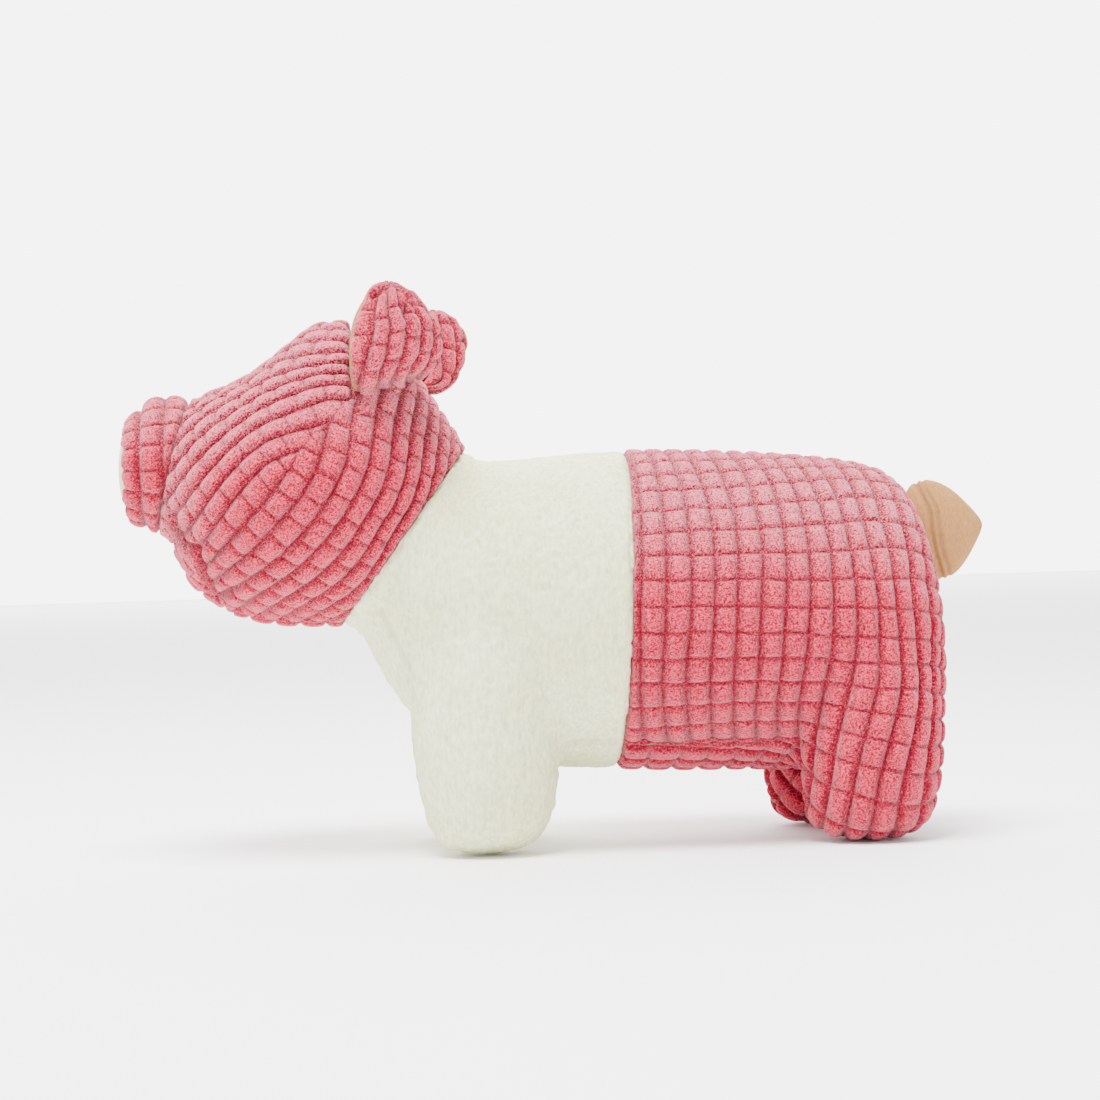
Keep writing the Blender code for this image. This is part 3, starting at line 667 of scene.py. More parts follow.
def even_normals(mesh):
    """Return the mesh's vertex normals, evened out so that slivers beside a cut don't turn them."""
    normals = vectors(mesh.vertex_normals, "vector")
    edges = read(mesh.edges, "vertices", 2, int)
    for _ in range(5):
        total = normals.copy()
        np.add.at(total, edges[:, 0], normals[edges[:, 1]])
        np.add.at(total, edges[:, 1], normals[edges[:, 0]])
        normals = total / np.linalg.norm(total, axis=1, keepdims=True)
    return normals


def smooth_step(values):
    """Return a smooth rise from 0 to 1."""
    t = np.clip(values, 0.0, 1.0)
    return t * t * (3.0 - 2.0 * t)


def fall_off(values, reach):
    """Return 1 at 0, falling off on both sides over this reach."""
    return np.exp(-(values / reach) ** 2)


def pillow(turns, groove, flatness=3.0):
    """Return 1 on the crown of a rib and 0 in its grooves, which lie at whole turns."""
    off = np.abs(np.mod(turns, 1.0) - 0.5) * 2.0
    return np.sqrt(np.clip(1.0 - np.clip(off / (1.0 - groove), 0.0, 1.0) ** flatness, 0.0, 1.0))


def wander(places, scale, amount):
    """Return a slow, even wander of one value for each place."""
    return np.array([noise.noise(Vector(p) * scale) for p in places]) * amount


def photo_view():
    """Return the placing matrix of the camera that took the photograph."""
    turn = math.radians(-4.0)
    back = Vector((math.sin(turn), -math.cos(turn), 0.0))
    facing = (-back).to_track_quat("-Z", "Y") @ Quaternion((0.0, 0.0, 1.0), math.radians(-1.8))
    place = facing.to_matrix().to_4x4()
    place.translation = Vector((-0.0026, 0.0, 0.1019)) + back * 0.9
    return place


def in_photo(places):
    """Return where places of either side show in the photograph, the far side's as their mirror images."""
    near = places * (1.0, -1.0, 1.0)
    near[:, 1] = -np.abs(near[:, 1])
    view = np.array(photo_view().inverted())
    seen = near @ view[:3, :3].T + view[:3, 3]
    return PHOTO_SIZE / 2.0 + seen[:, :2] / -seen[:, 2:] * PHOTO_REACH * (1.0, -1.0)


def at_pixel(across, down, sideways):
    """Return the place that shows at a point of the photograph and lies this far from the midline plane."""
    view = photo_view()
    middle = PHOTO_SIZE / 2.0
    ray = view.to_3x3() @ Vector(((across - middle) / PHOTO_REACH, (middle - down) / PHOTO_REACH, -1.0))
    return view.translation + ray * ((sideways - view.translation.y) / ray.y)


def from_line(shown, line):
    """Return how far each shown place is from a line through points, and on which side of it."""
    nearest, side = np.full(len(shown), 1e9), np.zeros(len(shown))
    for start, end in zip(np.array(line[:-1], float), np.array(line[1:], float)):
        way = end - start
        off = shown - start
        along = np.clip(off @ way / (way @ way), 0.0, 1.0)
        far = np.linalg.norm(off - along[:, None] * way, axis=1)
        closer = far < nearest
        nearest[closer] = far[closer]
        side[closer] = np.sign(way[0] * off[:, 1] - way[1] * off[:, 0])[closer]
    return nearest, side


def numbered(flat, shown, facing, region, grooves, block_pitch):
    """Return the groove number at each flattened place, from the grooves that the photograph shows.

    A thin plate is bent through the numbers. The second number counts the cuts, which run at right angles
    to the grooves and an even pitch apart. Both are worked out in centimetres.
    """
    marks = np.array(grooves, float)
    front = np.flatnonzero(facing)
    found = [front[np.argmin(((shown[front] - mark[:2]) ** 2).sum(axis=1))] for mark in marks]
    places = flat * 100.0
    knots = places[found]
    count = len(knots)

    def bend(places):
        apart = np.maximum(np.linalg.norm(places[:, None] - knots[None], axis=2), 1e-6)
        return apart ** 2 * np.log(apart)

    def slopes(places):
        off = places[:, None] - knots[None]
        apart = np.maximum(np.linalg.norm(off, axis=2, keepdims=True), 1e-6)
        return off * (2.0 * np.log(apart) + 1.0)

    def plane(places):
        return np.column_stack([np.ones(len(places)), places])

    table = np.zeros((count + 3, count + 3))
    table[:count, :count] = bend(knots) + GROOVE_EASE * np.eye(count)
    table[:count, count:] = plane(knots)
    table[count:, :count] = plane(knots).T
    weights = np.linalg.solve(table, np.concatenate([marks[:, 2], np.zeros(3)]))
    number = bend(places) @ weights[:count] + plane(places) @ weights[count:]
    some = places[region][::max(1, int(region.sum()) // 800)]
    across = np.einsum("pkc,k->pc", slopes(some), weights[:count]) + weights[count + 1:]
    across /= np.linalg.norm(across, axis=1, keepdims=True)
    wanted = np.stack([-across[:, 1], across[:, 0]], axis=1) / (block_pitch * 100.0)
    terms = np.concatenate([slopes(some), np.broadcast_to(np.eye(2), (len(some), 2, 2))], axis=1)
    terms = terms.transpose(0, 2, 1).reshape(-1, count + 2)
    held = terms.T @ terms + CUT_EASE * len(some) * np.diag([1.0] * count + [0.0, 0.0])
    along = np.linalg.solve(held, terms.T @ wanted.ravel())
    return number, bend(places) @ along[:count] + places @ along[count:]


def cord_numbers(names, flat, places, normals, seams, sizes):
    """Return the groove and cut numbers of the cord at each place, and how far its own seams are."""
    wale = flat[:, 0] / sizes.wale_pitch
    row = flat[:, 1] / sizes.block_pitch
    seam = np.full(len(places), FAR_AWAY)
    shown = in_photo(places)
    facing = np.abs(normals[:, 1]) > 0.25
    mouth, mouth_side = from_line(shown, MOUTH_SEAM)
    dart, dart_side = from_line(shown, DART_LINE)
    pitch = sizes.block_pitch
    for label in ("left", "right"):
        flank = names == f"{label}_flank"
        seen = facing[flank]
        wale[flank], row[flank] = numbered(flat[flank], shown[flank], seen, seen, FLANK_GROOVES, pitch)
        cheek = names == f"{label}_cheek"
        ahead = dart_side[cheek] > 0.0
        seen = facing[cheek]
        behind = numbered(flat[cheek], shown[cheek], seen & ~ahead, seen & ~ahead, CHEEK_GROOVES, pitch)
        before = numbered(flat[cheek], shown[cheek], seen & ahead, ahead, FOREHEAD_GROOVES, pitch)
        wale[cheek] = np.where(ahead, before[0], behind[0])
        row[cheek] = np.where(ahead, before[1], behind[1]) + 0.42 * np.mod(np.floor(wale[cheek]), 2.0)
        seam[cheek] = np.where(shown[cheek, 1] < DART_LINE[1][1] + 2.0, dart[cheek] * PIXEL, FAR_AWAY)
    head = np.isin(names, ("left_cheek", "right_cheek", "chin"))
    jaw = head & (mouth_side > 0.0) & (shown[:, 1] > MOUTH_SEAM[0][1]) & (shown[:, 0] < MOUTH_SEAM[-1][0] + 5.0)
    wale[jaw] = 5.0 + mouth[jaw] * PIXEL / sizes.wale_pitch
    seam[head] = np.minimum(seam[head], mouth[head] * PIXEL)
    band = names == "snout_band"
    wale[band], row[band] = snout_numbers(places[band], seams, sizes)
    wale += wander(places, 60.0, 0.06)
    row += wander(places + 1.0, 80.0, 0.10)
    return wale, row, seam


def snout_numbers(places, seams, sizes):
    """Return the groove and cut numbers of the ribs that run round the snout."""
    point, back = seams.face
    off = places - np.array(point)
    angle = np.arctan2(off[:, 1], off @ np.array(SIDEWAYS.cross(back)))
    return ((off @ np.array(back) + SNOUT_RIB_START) / sizes.snout_rib_pitch,
            angle * sizes.snout_diameter / 2.0 / sizes.block_pitch)


def on_corners(mesh):
    """Return each vertex's panel and flattened place, and how far it is from the nearest sewn seam."""
    count = len(mesh.vertices)
    corner_vert, loop_panel = read(mesh.loops, "vertex_index", 1, int), loop_panels(mesh)
    panel, flat = np.zeros(count, int), np.zeros((count, 2))
    panel[corner_vert] = loop_panel
    flat[corner_vert] = read(mesh.uv_layers.active.uv, "vector", 2)
    lowest, highest = np.full(count, len(PANELS)), np.full(count, -1)
    np.minimum.at(lowest, corner_vert, loop_panel)
    np.maximum.at(highest, corner_vert, loop_panel)
    places = vectors(mesh.vertices)
    sewn = np.flatnonzero(lowest != highest)
    tree = kdtree.KDTree(len(sewn))
    for index, vert in enumerate(sewn):
        tree.insert(Vector(places[vert]), index)
    tree.balance()
    return panel, flat, np.array([tree.find(Vector(p))[2] for p in places])


class PlushPig:
    """What the operators share: the finished skin, from which each takes its own panels, and the cloths."""

    skin = None
    cloths = {}


def finish_skin(sizes):
    """Make the whole skin, refine it and raise its pile, and keep it for the pieces to take."""
    seams = Seams(sizes)
    sewn = add_object("cloth", panelled_mesh(sizes, seams))
    flatten_panels(sewn)
    scale_panels(sewn.data)
    refine(sewn, 2).uv_smooth = "PRESERVE_BOUNDARIES"
    mesh = applied(sewn)
    places, normals = vectors(mesh.vertices), even_normals(mesh)
    panel, flat, away = on_corners(mesh)
    names = np.array(PANELS)[panel]
    plain = np.isin(names, ("left_shoulder", "right_shoulder", "chest"))
    wale, row, seam = cord_numbers(names, flat, places, normals, seams, sizes)
    # The ribs stand up from the backing, lower at the cuts, and the pile thins out towards the seams.
    flatness = np.where(np.isin(names, ("left_flank", "right_flank", "belly")), 2.6, 2.0)
    rib = pillow(wale, sizes.groove_width / sizes.wale_pitch, flatness)
    height = rib * (0.30 + 0.70 * pillow(row, sizes.cut_width / sizes.block_pitch))
    height[plain] = 0.6 + wander(places[plain], 400.0, 0.25)
    height[names == "snout_face"] = 0.5
    away = np.maximum(np.minimum(away, seam) + wander(places, 500.0, 0.0006), 0.0)
    height *= np.where(plain, 0.5 + 0.5 * smooth_step(away / 0.0025), smooth_step(away / SEAM_REACH))
    dip = fall_off(away, SEAM_REACH) * sizes.seam_depth + fall_off(seam, 0.0015) * MOUTH_DEPTH
    places += normals * (height * sizes.pile_height - dip)[:, None]
    places[:, 2] = np.maximum(places[:, 2], 0.0)
    place_vertices(mesh, places)
    # The chest's seam is a faint line of painted shade; a painted highlight makes the pile pale on top and
    # behind the muzzle.
    fold = fall_off(np.abs(places[:, 1]) - sizes.gusset_width / 2.0, 0.0008) * 0.35
    fold[~plain | (places[:, 2] > CHEST_SEAM_SHARE * sizes.back_height)] = 0.0
    brushed = smooth_step((normals[:, 2] - 0.02) / 0.65)
    behind = (places - np.array(seams.muzzle[0])) @ np.array(seams.muzzle[1])
    brushed[behind > 0.0] = np.maximum(brushed, 0.8 * fall_off(behind, 0.014))[behind > 0.0]
    brushed[names == "snout_band"] *= 0.6
    # from_seam darkens the cord towards its seams: the backing's colour and painted shade.
    store(mesh, wale=wale, row=row, from_seam=np.minimum(seam, away + 0.0008), fold=fold, brushed=brushed)
    outward = mesh.attributes.new("outward", "FLOAT_VECTOR", "POINT")
    outward.data.foreach_set("vector", normals.astype(np.float32).ravel())
    PlushPig.skin = mesh


def take_piece(name, cloth_name, colours):
    """Make one piece, with its panels taken from the skin and its open ends closed."""
    panels, nodes = PIECES[name]
    numbers = {PANELS.index(p) for p in panels}
    bm = bmesh.new()
    bm.from_mesh(PlushPig.skin)
    panel = bm.faces.layers.int["panel"]
    bmesh.ops.delete(bm, geom=[f for f in bm.faces if f[panel] not in numbers], context="FACES")
    rims = [e for e in bm.edges if e.is_boundary]
    made = bmesh.ops.extrude_edge_only(bm, edges=rims)["geom"]
    outward = bm.verts.layers.float_vector["outward"]
    for vert in (g for g in made if isinstance(g, bmesh.types.BMVert)):
        vert.co -= vert[outward] * RIM_DEPTH
    bmesh.ops.holes_fill(bm, edges=[g for g in made if isinstance(g, bmesh.types.BMEdge)], sides=0)
    bm.verts.layers.float_vector.remove(outward)
    obj = add_object(name, mesh_of(bm, name))
    obj.data.shade_smooth()
    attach(obj, "pig")
    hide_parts(*nodes)
    paint(obj, cloth_name, colours)


def fabric(name, sheen, sheen_tint):
    """Return a new material, its node tree, its shader and the socket of its place."""
    material = bpy.data.materials.new(name)
    material.use_nodes = True
    tree = material.node_tree
    shader = tree.nodes["Principled BSDF"]
    shader.inputs["Roughness"].default_value = 1.0
    shader.inputs["Sheen Weight"].default_value = sheen
    shader.inputs["Sheen Roughness"].default_value = 0.35
    shader.inputs["Sheen Tint"].default_value = (*sheen_tint, 1.0)
    shader.inputs["Specular IOR Level"].default_value = 0.04
    return material, tree, shader, tree.nodes.new("ShaderNodeTexCoord").outputs["Object"]


def add_node(tree, kind, **inputs):
    """Add a shader node and set its inputs by name, each to a value or from a socket."""
    node = tree.nodes.new(kind)
    for name, value in inputs.items():
        join(tree, value, node.inputs[name.replace("_", " ")])
    return node


def join(tree, value, socket):
    """Set a socket to a value, or link it to the socket that gives it."""
    if isinstance(value, bpy.types.NodeSocket):
        tree.links.new(value, socket)
    else:
        socket.default_value = value


def noise_node(tree, place, **inputs):
    """Add a noise texture at this place, and return its output."""
    return add_node(tree, "ShaderNodeTexNoise", Vector=place, **inputs).outputs["Fac"]


def math_node(tree, operation, first, second=0.0, clamped=False):
    """Add a math node of two inputs, each a socket or a number, and return its output."""
    node = tree.nodes.new("ShaderNodeMath")
    node.operation = operation
    node.use_clamp = clamped
    join(tree, first, node.inputs[0])
    join(tree, second, node.inputs[1])
    return node.outputs[0]


def range_node(tree, value, low, high, **inputs):
    """Add a node that maps a range of the value to 0 to 1 or other ends, and return its output."""
    return add_node(tree, "ShaderNodeMapRange", Value=value, From_Min=low, From_Max=high, **inputs)


def mix_node(tree, blend, factor, first, second):
    """Add a node that mixes two colours, each a socket or a colour, and return its output."""
    node = tree.nodes.new("ShaderNodeMix")
    node.data_type = "RGBA"
    node.blend_type = blend
    join(tree, factor, node.inputs["Factor"])
    for socket, value in ((node.inputs[6], first), (node.inputs[7], second)):
        join(tree, value if isinstance(value, bpy.types.NodeSocket) else (*value, 1.0), socket)
    return node.outputs[2]


def ramp_node(tree, value, stops):
    """Add a colour ramp with these positions and colours, and return its output."""
    node = add_node(tree, "ShaderNodeValToRGB", Fac=value)
    ramp = node.color_ramp
    while len(ramp.elements) < len(stops):
        ramp.elements.new(0.5)
    for element, (position, tint) in zip(ramp.elements, stops):
        element.position = position
        element.color = (*tint, 1.0)
    return node.outputs["Color"]


def attribute_node(tree, name):
    """Add a node that reads one value of the surface, and return its output."""
    node = tree.nodes.new("ShaderNodeAttribute")
    node.attribute_name = name
    return node.outputs["Fac"]


def rib_edge(tree, turns, ragged, start, end):
    """Return a socket that rises from 0 in the grooves at whole turns to 1 on the ribs."""
    part = math_node(tree, "FRACT", turns)
    off = math_node(tree, "ABSOLUTE", math_node(tree, "SUBTRACT", part, 0.5))
    inside = math_node(tree, "ADD", math_node(tree, "SUBTRACT", 0.5, off), ragged)
    rise = range_node(tree, inside, start, end)
    rise.interpolation_type = "SMOOTHSTEP"
    return rise.outputs["Result"]


def finish_surface(tree, shader, surface, raised, strength, distance):
    """Give the shader its colour, and the bump of its pile."""
    bump = add_node(tree, "ShaderNodeBump", Height=raised, Strength=strength, Distance=distance)
    tree.links.new(surface, shader.inputs["Base Color"])
    tree.links.new(bump.outputs["Normal"], shader.inputs["Normal"])


def cord_material(colours):
    """Return the speckled pink brick corduroy, darker in its grooves partly as painted shade, with a painted
    highlight on top.
    """
    material, tree, shader, place = fabric("pink_corduroy_cloth", 0.42, (1.0, 0.78, 0.82))
    loops = noise_node(tree, place, Scale=1650.0, Detail=3.0, Roughness=0.7, Distortion=0.5)
    fuzz = noise_node(tree, place, Scale=420.0, Detail=2.0)
    ragged = math_node(tree, "MULTIPLY", math_node(tree, "SUBTRACT", fuzz, 0.5), 0.14)
    rib = rib_edge(tree, attribute_node(tree, "wale"), ragged, -0.01, 0.34)
    cut = rib_edge(tree, attribute_node(tree, "row"), ragged, -0.04, 0.16)
    # Towards the seams the blocks fall to the groove's tones: the backing's colour and painted shade in the
    # seam's dip.
    seam = range_node(tree, attribute_node(tree, "from_seam"), 0.0, 0.0022).outputs["Result"]
    block = math_node(tree, "MULTIPLY", rib,
                      math_node(tree, "ADD", math_node(tree, "MULTIPLY", cut, 0.75), 0.25))
    block = math_node(tree, "MULTIPLY", block, seam)
    grain = math_node(tree, "MULTIPLY", math_node(tree, "SUBTRACT", loops, 0.5), 4.3)
    # The ramp gives the cloth's own tones, with painted shade darkening the blocks' edges and the grooves.
    shade = math_node(tree, "ADD", math_node(tree, "MULTIPLY", block, 0.47),
                      math_node(tree, "ADD", grain, 0.11), True)
    speck_and_shade = ramp_node(tree, shade, ((0.0, colours.cord_groove), (0.38, colours.cord_side),
                                    (0.85, colours.cord_top)))
    # Painted highlight: pale pink mixed in where the surface faces upward and behind the muzzle.
    highlight_share = math_node(tree, "MULTIPLY",
                     math_node(tree, "MULTIPLY", attribute_node(tree, "brushed"), 0.42), shade)
    surface = mix_node(tree, "MIX", highlight_share, speck_and_shade, colours.cord_brushed)
    raised = math_node(tree, "ADD", math_node(tree, "MULTIPLY", loops, 1.2), block)
    finish_surface(tree, shader, surface, raised, 0.8, 0.0008)
    return material


def soft_material(name, tint, scale, depth):
    """Return a plain soft cloth with a fine pile that lies downwards, darkened in its folds by painted shade.
    """
    material, tree, shader, place = fabric(name, 0.06, (1.0, 1.0, 0.97))
    nap = add_node(tree, "ShaderNodeMapping", Vector=place, Scale=(1.0, 1.0, 0.4)).outputs["Vector"]
    grain = noise_node(tree, nap, Scale=scale, Detail=4.0, Roughness=0.65)
    patches = noise_node(tree, place, Scale=38.0, Detail=4.0, Roughness=0.6)
    pile = ramp_node(tree, grain, ((0.30, [c * 0.74 for c in tint]),
                                   (0.66, [min(1.0, c * 1.06) for c in tint])))
    cloudy = ramp_node(tree, patches, ((0.36, (0.93, 0.92, 0.80)), (0.62, (1.0, 1.0, 1.0))))
    # Painted shade: the colour turns to a deeper tint where the fold attribute marks a crease or a seam's line.
    painted_fold_shade = math_node(tree, "MULTIPLY", attribute_node(tree, "fold"), 0.75, True)
    surface = mix_node(tree, "MIX", painted_fold_shade, mix_node(tree, "MULTIPLY", 1.0, pile, cloudy),
                       [c * 0.45 for c in tint])
    finish_surface(tree, shader, surface, grain, 0.7, depth)
    return material


def cloth(name, colours):
    """Return the material of this cloth, made when it is first asked for."""
    if name not in PlushPig.cloths:
        tints = {"ivory_pile": colours.ivory, "beige_velvet": colours.beige, "pale_velvet": colours.pale_beige}
        PlushPig.cloths[name] = cord_material(colours) if name == "pink_corduroy" else \
            soft_material(f"{name}_cloth", tints[name], *SOFT_PILES[name])
    return PlushPig.cloths[name]


def paint(obj, cloth_name, colours):
    """Give a piece its cloth."""
    obj.data.materials.clear()
    obj.data.materials.append(cloth(cloth_name, colours))


def ear_sheet(rows, side, inset, longer, block_pitch):
    """Return the refined sheet of one ear's layer, with its groove and cut numbers."""
    columns, last = len(EAR_COLUMNS) - 1, len(rows) - 1
    bm = bmesh.new()
    for name in ("wale", "row"):
        bm.verts.layers.float.new(name)
    grid = bmesh.ops.create_grid(bm, x_segments=columns, y_segments=last, size=0.5)["verts"]
    wale, cut = (bm.verts.layers.float[name] for name in ("wale", "row"))
    heights = [(rows[0][1] + rows[0][3] - row[1] - row[3]) / 2.0 * PIXEL for row in rows]
    for vert in grid:
        row = round((vert.co.y + 0.5) * last)
        share, spread, number = EAR_COLUMNS[round((vert.co.x + 0.5) * columns)]
        front_across, front_down, rear_across, rear_down, midline, half = rows[row]
        above = max(0.0, row - 1.0)
        turned = EAR_TURN * max(0.0, 1.0 - above / 2.0)
        front = at_pixel(front_across - longer, front_down, side * (midline + turned))
        rear = at_pixel(rear_across, rear_down, side * (midline - turned))
        inward = inset * (1.0 - abs(2.0 * share - 1.0) * 0.2)
        vert.co = front.lerp(rear, share * (1.0 - inward / (rear - front).length)) + \
            SIDEWAYS * side * spread * max(half - inward, half * 0.3)
        vert[wale] = number + EAR_GATHER * max(0.0, 1.0 - above / 1.5)
        vert[cut] = heights[row] / block_pitch
    bmesh.ops.recalc_face_normals(bm, faces=bm.faces)
    outermost = max(bm.faces, key=lambda f: side * f.calc_center_median().y)
    if outermost.normal.y * side < 0.0:
        bmesh.ops.reverse_faces(bm, faces=bm.faces)
    obj = add_object("ear_sheet", mesh_of(bm, "ear"))
    refine(obj, 4)
    return applied(obj)


def ear_layer(name, rows, side, sizes, inset, longer, wall, relief):
    """Return one layer of an ear, cupped, with a wall of this thickness and its cord raised by relief."""
    mesh = ear_sheet(rows, side, inset, longer, sizes.block_pitch)
    wale, row = (read(mesh.attributes[n].data, "value", 1) for n in ("wale", "row"))
    places, normals = vectors(mesh.vertices), vectors(mesh.vertex_normals, "vector")
    rising = row / row.max()
    wale += wander(places, 60.0, 0.10)
    row += wander(places + 1.0, 80.0, 0.25) + 0.37 * np.mod(np.floor(wale), 2.0)
    wale += (np.floor(wale) + 0.5 - wale) * smooth_step((rising - 0.90) / 0.07)
    height = pillow(wale, 0.10, 2.0) * (0.35 + 0.65 * pillow(row, 0.08))
    fold = from_line(in_photo(places), EAR_FOLD)[0] * PIXEL if side < 0.0 else np.full(len(places), FAR_AWAY)
    height *= (1.0 - 0.7 * smooth_step((rising - 0.86) / 0.12)) * smooth_step(fold / SEAM_REACH)
    dip = EAR_FOLD_DEPTH * fall_off(fold, SEAM_REACH) if relief > 0.0 else 0.0
    place_vertices(mesh, places + normals * (height * relief - dip)[:, None])
    # The cord darkens towards the fold under the tip as painted shade, and takes an even share of the painted
    # highlight.
    store(mesh, wale=wale, row=row, from_seam=fold, brushed=np.full(len(places), 0.25))
    obj = add_object(f"{name}_sheet", mesh)
    thick = obj.modifiers.new("wall", "SOLIDIFY")
    thick.thickness = wall
    thick.offset = -1.0
    obj = add_object(f"{name}_skin", applied(obj))
    obj.data.name = obj.name
    obj.data.shade_smooth()
    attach(obj, "left_ear" if side < 0.0 else "right_ear")
    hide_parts(name)
    return obj


def tail_mesh(sizes, joint):
    """Return the tail's skin, creased across behind its seam, at its joint."""
    standing = Vector(joint["axis"]).normalized()
    rearward = SIDEWAYS.cross(standing).normalized()
    place = Matrix((rearward, standing.cross(rearward), standing)).transposed().to_4x4()
    place.translation = joint["pos_m"]
    bm = bmesh.new()
    add_tube(bm, [ring_place(Vector((along * sizes.tail_length, 0.0, top * sizes.tail_height)),
                             Vector((along * sizes.tail_length, 0.0, bottom * sizes.tail_height)),
                             thickness * sizes.tail_thickness)
                  for along, top, bottom, thickness in TAIL_RING_SHARES])
    obj = add_object("tail_shape", outward_mesh(bm, "tail_skin"))
    refine(obj, 4)
    mesh = applied(obj)
    places, normals = vectors(mesh.vertices), vectors(mesh.vertex_normals, "vector")
    along = places[:, 0] + 0.10 * places[:, 2] + wander(places, 90.0, 0.002)
    fold = sum(depth * fall_off(along - behind, 0.0009) for behind, depth in TAIL_CREASES)
    place_vertices(mesh, places - normals * fold[:, None])
    # The creases are kept as an attribute that paints shade into them.
    store(mesh, fold=fold / 0.0011)
    mesh.transform(place)
    mesh.shade_smooth()
    return mesh


class PLUSHPIG_OT_skin(bpy.types.Operator):
    """Flatten, refine and raise the whole fabric skin, before it is divided into pieces"""

    bl_idname = "plushpig.skin"
    bl_label = "Prepare skin"

    def execute(self, context):
        finish_skin(context.scene.plush_pig_sizes)
        return {"FINISHED"}


class PLUSHPIG_OT_rear(bpy.types.Operator):
    """Sew the pink rear section with the hind legs"""

    bl_idname = "plushpig.rear"
    bl_label = "Rear section"

    def execute(self, context):
        take_piece("rear_skin", "pink_corduroy", context.scene.plush_pig_colours)
        return {"FINISHED"}


class PLUSHPIG_OT_front(bpy.types.Operator):
    """Sew the ivory front section with the front legs"""

    bl_idname = "plushpig.front"
    bl_label = "Front section"

    def execute(self, context):
        take_piece("front_skin", "ivory_pile", context.scene.plush_pig_colours)
        return {"FINISHED"}


class PLUSHPIG_OT_head(bpy.types.Operator):
    """Sew the head, the snout's band and its face"""

    bl_idname = "plushpig.head"
    bl_label = "Head and snout"

    def execute(self, context):
        for name, cloth_name in (("head_skin", "pink_corduroy"), ("snout_band_skin", "pink_corduroy"),
                                 ("snout_face_skin", "pale_velvet")):
            take_piece(name, cloth_name, context.scene.plush_pig_colours)
        return {"FINISHED"}


class PLUSHPIG_OT_ears(bpy.types.Operator):
    """Sew the two ears"""

    bl_idname = "plushpig.ears"
    bl_label = "Ears"

    def execute(self, context):
        sizes, colours = context.scene.plush_pig_sizes, context.scene.plush_pig_colours
        for label, side, rows in (("left", -1.0, LEFT_EAR_ROWS), ("right", 1.0, RIGHT_EAR_ROWS)):
            back = ear_layer(f"{label}_ear_back", rows, side, sizes, 0.0, 0.0, sizes.ear_wall,
                             sizes.pile_height)
            paint(back, "pink_corduroy", colours)
            lining = ear_layer(f"{label}_ear_lining", rows, side, sizes, sizes.ear_wall + EAR_ROOM,
                               LINING_SHOWS, sizes.ear_lining, 0.0)
            paint(lining, "beige_velvet", colours)
        return {"FINISHED"}


class PLUSHPIG_OT_tail(bpy.types.Operator):
    """Sew the tail"""

    bl_idname = "plushpig.tail"
    bl_label = "Tail"

    def execute(self, context):
        joint = next(j for j in frame["joints"] if j["name"] == "tail_hinge")
        obj = add_object("tail_skin", tail_mesh(context.scene.plush_pig_sizes, joint))
        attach(obj, "tail")
        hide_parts("tail_left_panel", "tail_right_panel", "tail_filling")
        paint(obj, "beige_velvet", context.scene.plush_pig_colours)
        return {"FINISHED"}


def add_floor(tint):
    """Add the plain floor."""
    bm = bmesh.new()
    bmesh.ops.create_grid(bm, x_segments=1, y_segments=1, size=6.0)
    floor = add_object("floor", outward_mesh(bm, "floor"))
    material = bpy.data.materials.new("floor")
    material.use_nodes = True
    shader = material.node_tree.nodes["Principled BSDF"]
    shader.inputs["Base Color"].default_value = (*tint, 1.0)
    shader.inputs["Roughness"].default_value = 0.9
    floor.data.materials.append(material)


def studio_world():
    """Return a white world, brighter behind the toy, and evenly white where the camera sees it."""
    world = bpy.data.worlds.new("studio")
    world.use_nodes = True
    tree = world.node_tree
    way = tree.nodes.new("ShaderNodeTexCoord").outputs["Generated"]
    split = add_node(tree, "ShaderNodeSeparateXYZ", Vector=way)
    backdrop = range_node(tree, split.outputs["Y"], 0.1, 0.9, To_Min=1.05, To_Max=WHITE)
    shown = tree.nodes.new("ShaderNodeLightPath").outputs["Is Camera Ray"]
    strength = math_node(tree, "MAXIMUM", backdrop.outputs["Result"],
                         math_node(tree, "MULTIPLY", shown, WHITE))
    background = tree.nodes["Background"]
    background.inputs["Color"].default_value = (1.0, 1.0, 1.0, 1.0)
    tree.links.new(strength, background.inputs["Strength"])
    return world


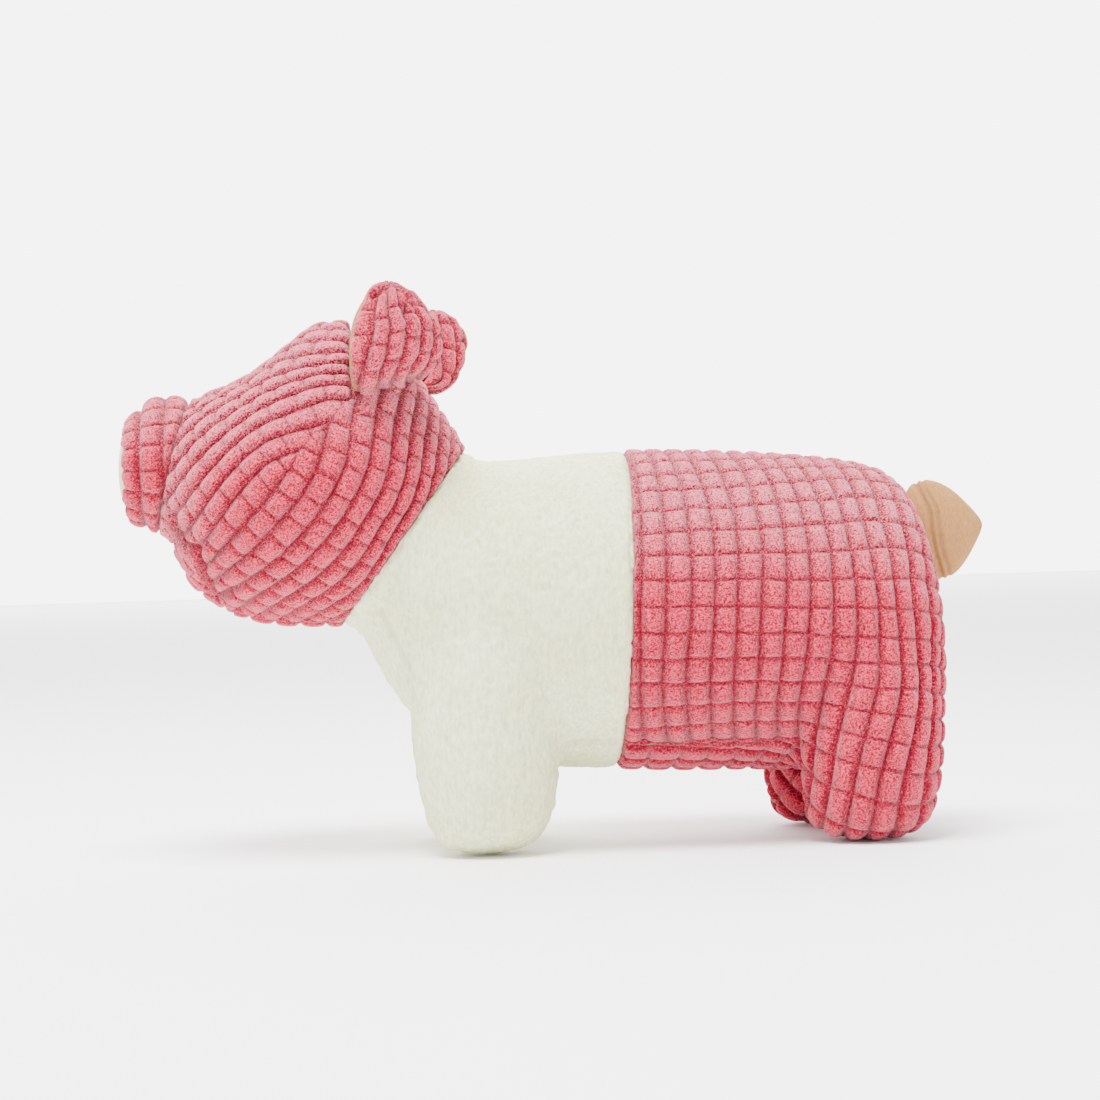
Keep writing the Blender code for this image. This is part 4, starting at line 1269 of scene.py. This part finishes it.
class PLUSHPIG_OT_stage(bpy.types.Operator):
    """Set up the pale floor, the soft studio light and the camera"""

    bl_idname = "plushpig.stage"
    bl_label = "Stage"

    def execute(self, context):
        add_floor(context.scene.plush_pig_colours.floor)
        context.scene.world = studio_world()
        for name, place, size, power in LAMPS:
            light = bpy.data.lights.new(name, "AREA")
            light.size = size
            light.energy = power
            lamp = add_object(name, light)
            lamp.location = place
            lamp.rotation_euler = (UPWARD * 0.1 - Vector(place)).to_track_quat("-Z", "Y").to_euler()
        camera = bpy.data.cameras.new("camera")
        camera.sensor_width = PHOTO_SENSOR
        camera.lens = PHOTO_LENS
        eye = add_object("camera", camera)
        eye.matrix_world = photo_view()
        context.scene.camera = eye
        return {"FINISHED"}


class PLUSHPIG_PT_panel(bpy.types.Panel):
    """Lists the steps that sew the toy."""

    bl_idname = "PLUSHPIG_PT_panel"
    bl_label = "Plush pig"
    bl_space_type = "VIEW_3D"
    bl_region_type = "UI"
    bl_category = "Plush pig"

    def draw(self, context):
        for operator in OPERATORS:
            self.layout.operator(operator.bl_idname)
        for group in (context.scene.plush_pig_sizes, context.scene.plush_pig_colours):
            box = self.layout.box()
            for name in group.__annotations__:
                box.prop(group, name)


OPERATORS = (PLUSHPIG_OT_skin, PLUSHPIG_OT_rear, PLUSHPIG_OT_front, PLUSHPIG_OT_head, PLUSHPIG_OT_ears,
             PLUSHPIG_OT_tail, PLUSHPIG_OT_stage)
CLASSES = (PlushPigSizes, PlushPigColours, *OPERATORS, PLUSHPIG_PT_panel)


def register():
    """Add the classes and the scene's two groups of settings."""
    for cls in CLASSES:
        bpy.utils.register_class(cls)
    bpy.types.Scene.plush_pig_sizes = PointerProperty(type=PlushPigSizes)
    bpy.types.Scene.plush_pig_colours = PointerProperty(type=PlushPigColours)


def unregister():
    """Remove what register() added."""
    del bpy.types.Scene.plush_pig_colours
    del bpy.types.Scene.plush_pig_sizes
    for cls in reversed(CLASSES):
        bpy.utils.unregister_class(cls)


def main():
    """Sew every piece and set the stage."""
    register()
    bpy.ops.plushpig.skin()
    bpy.ops.plushpig.rear()
    bpy.ops.plushpig.front()
    bpy.ops.plushpig.head()
    bpy.ops.plushpig.ears()
    bpy.ops.plushpig.tail()
    bpy.ops.plushpig.stage()


if __name__ == "__main__":
    main()
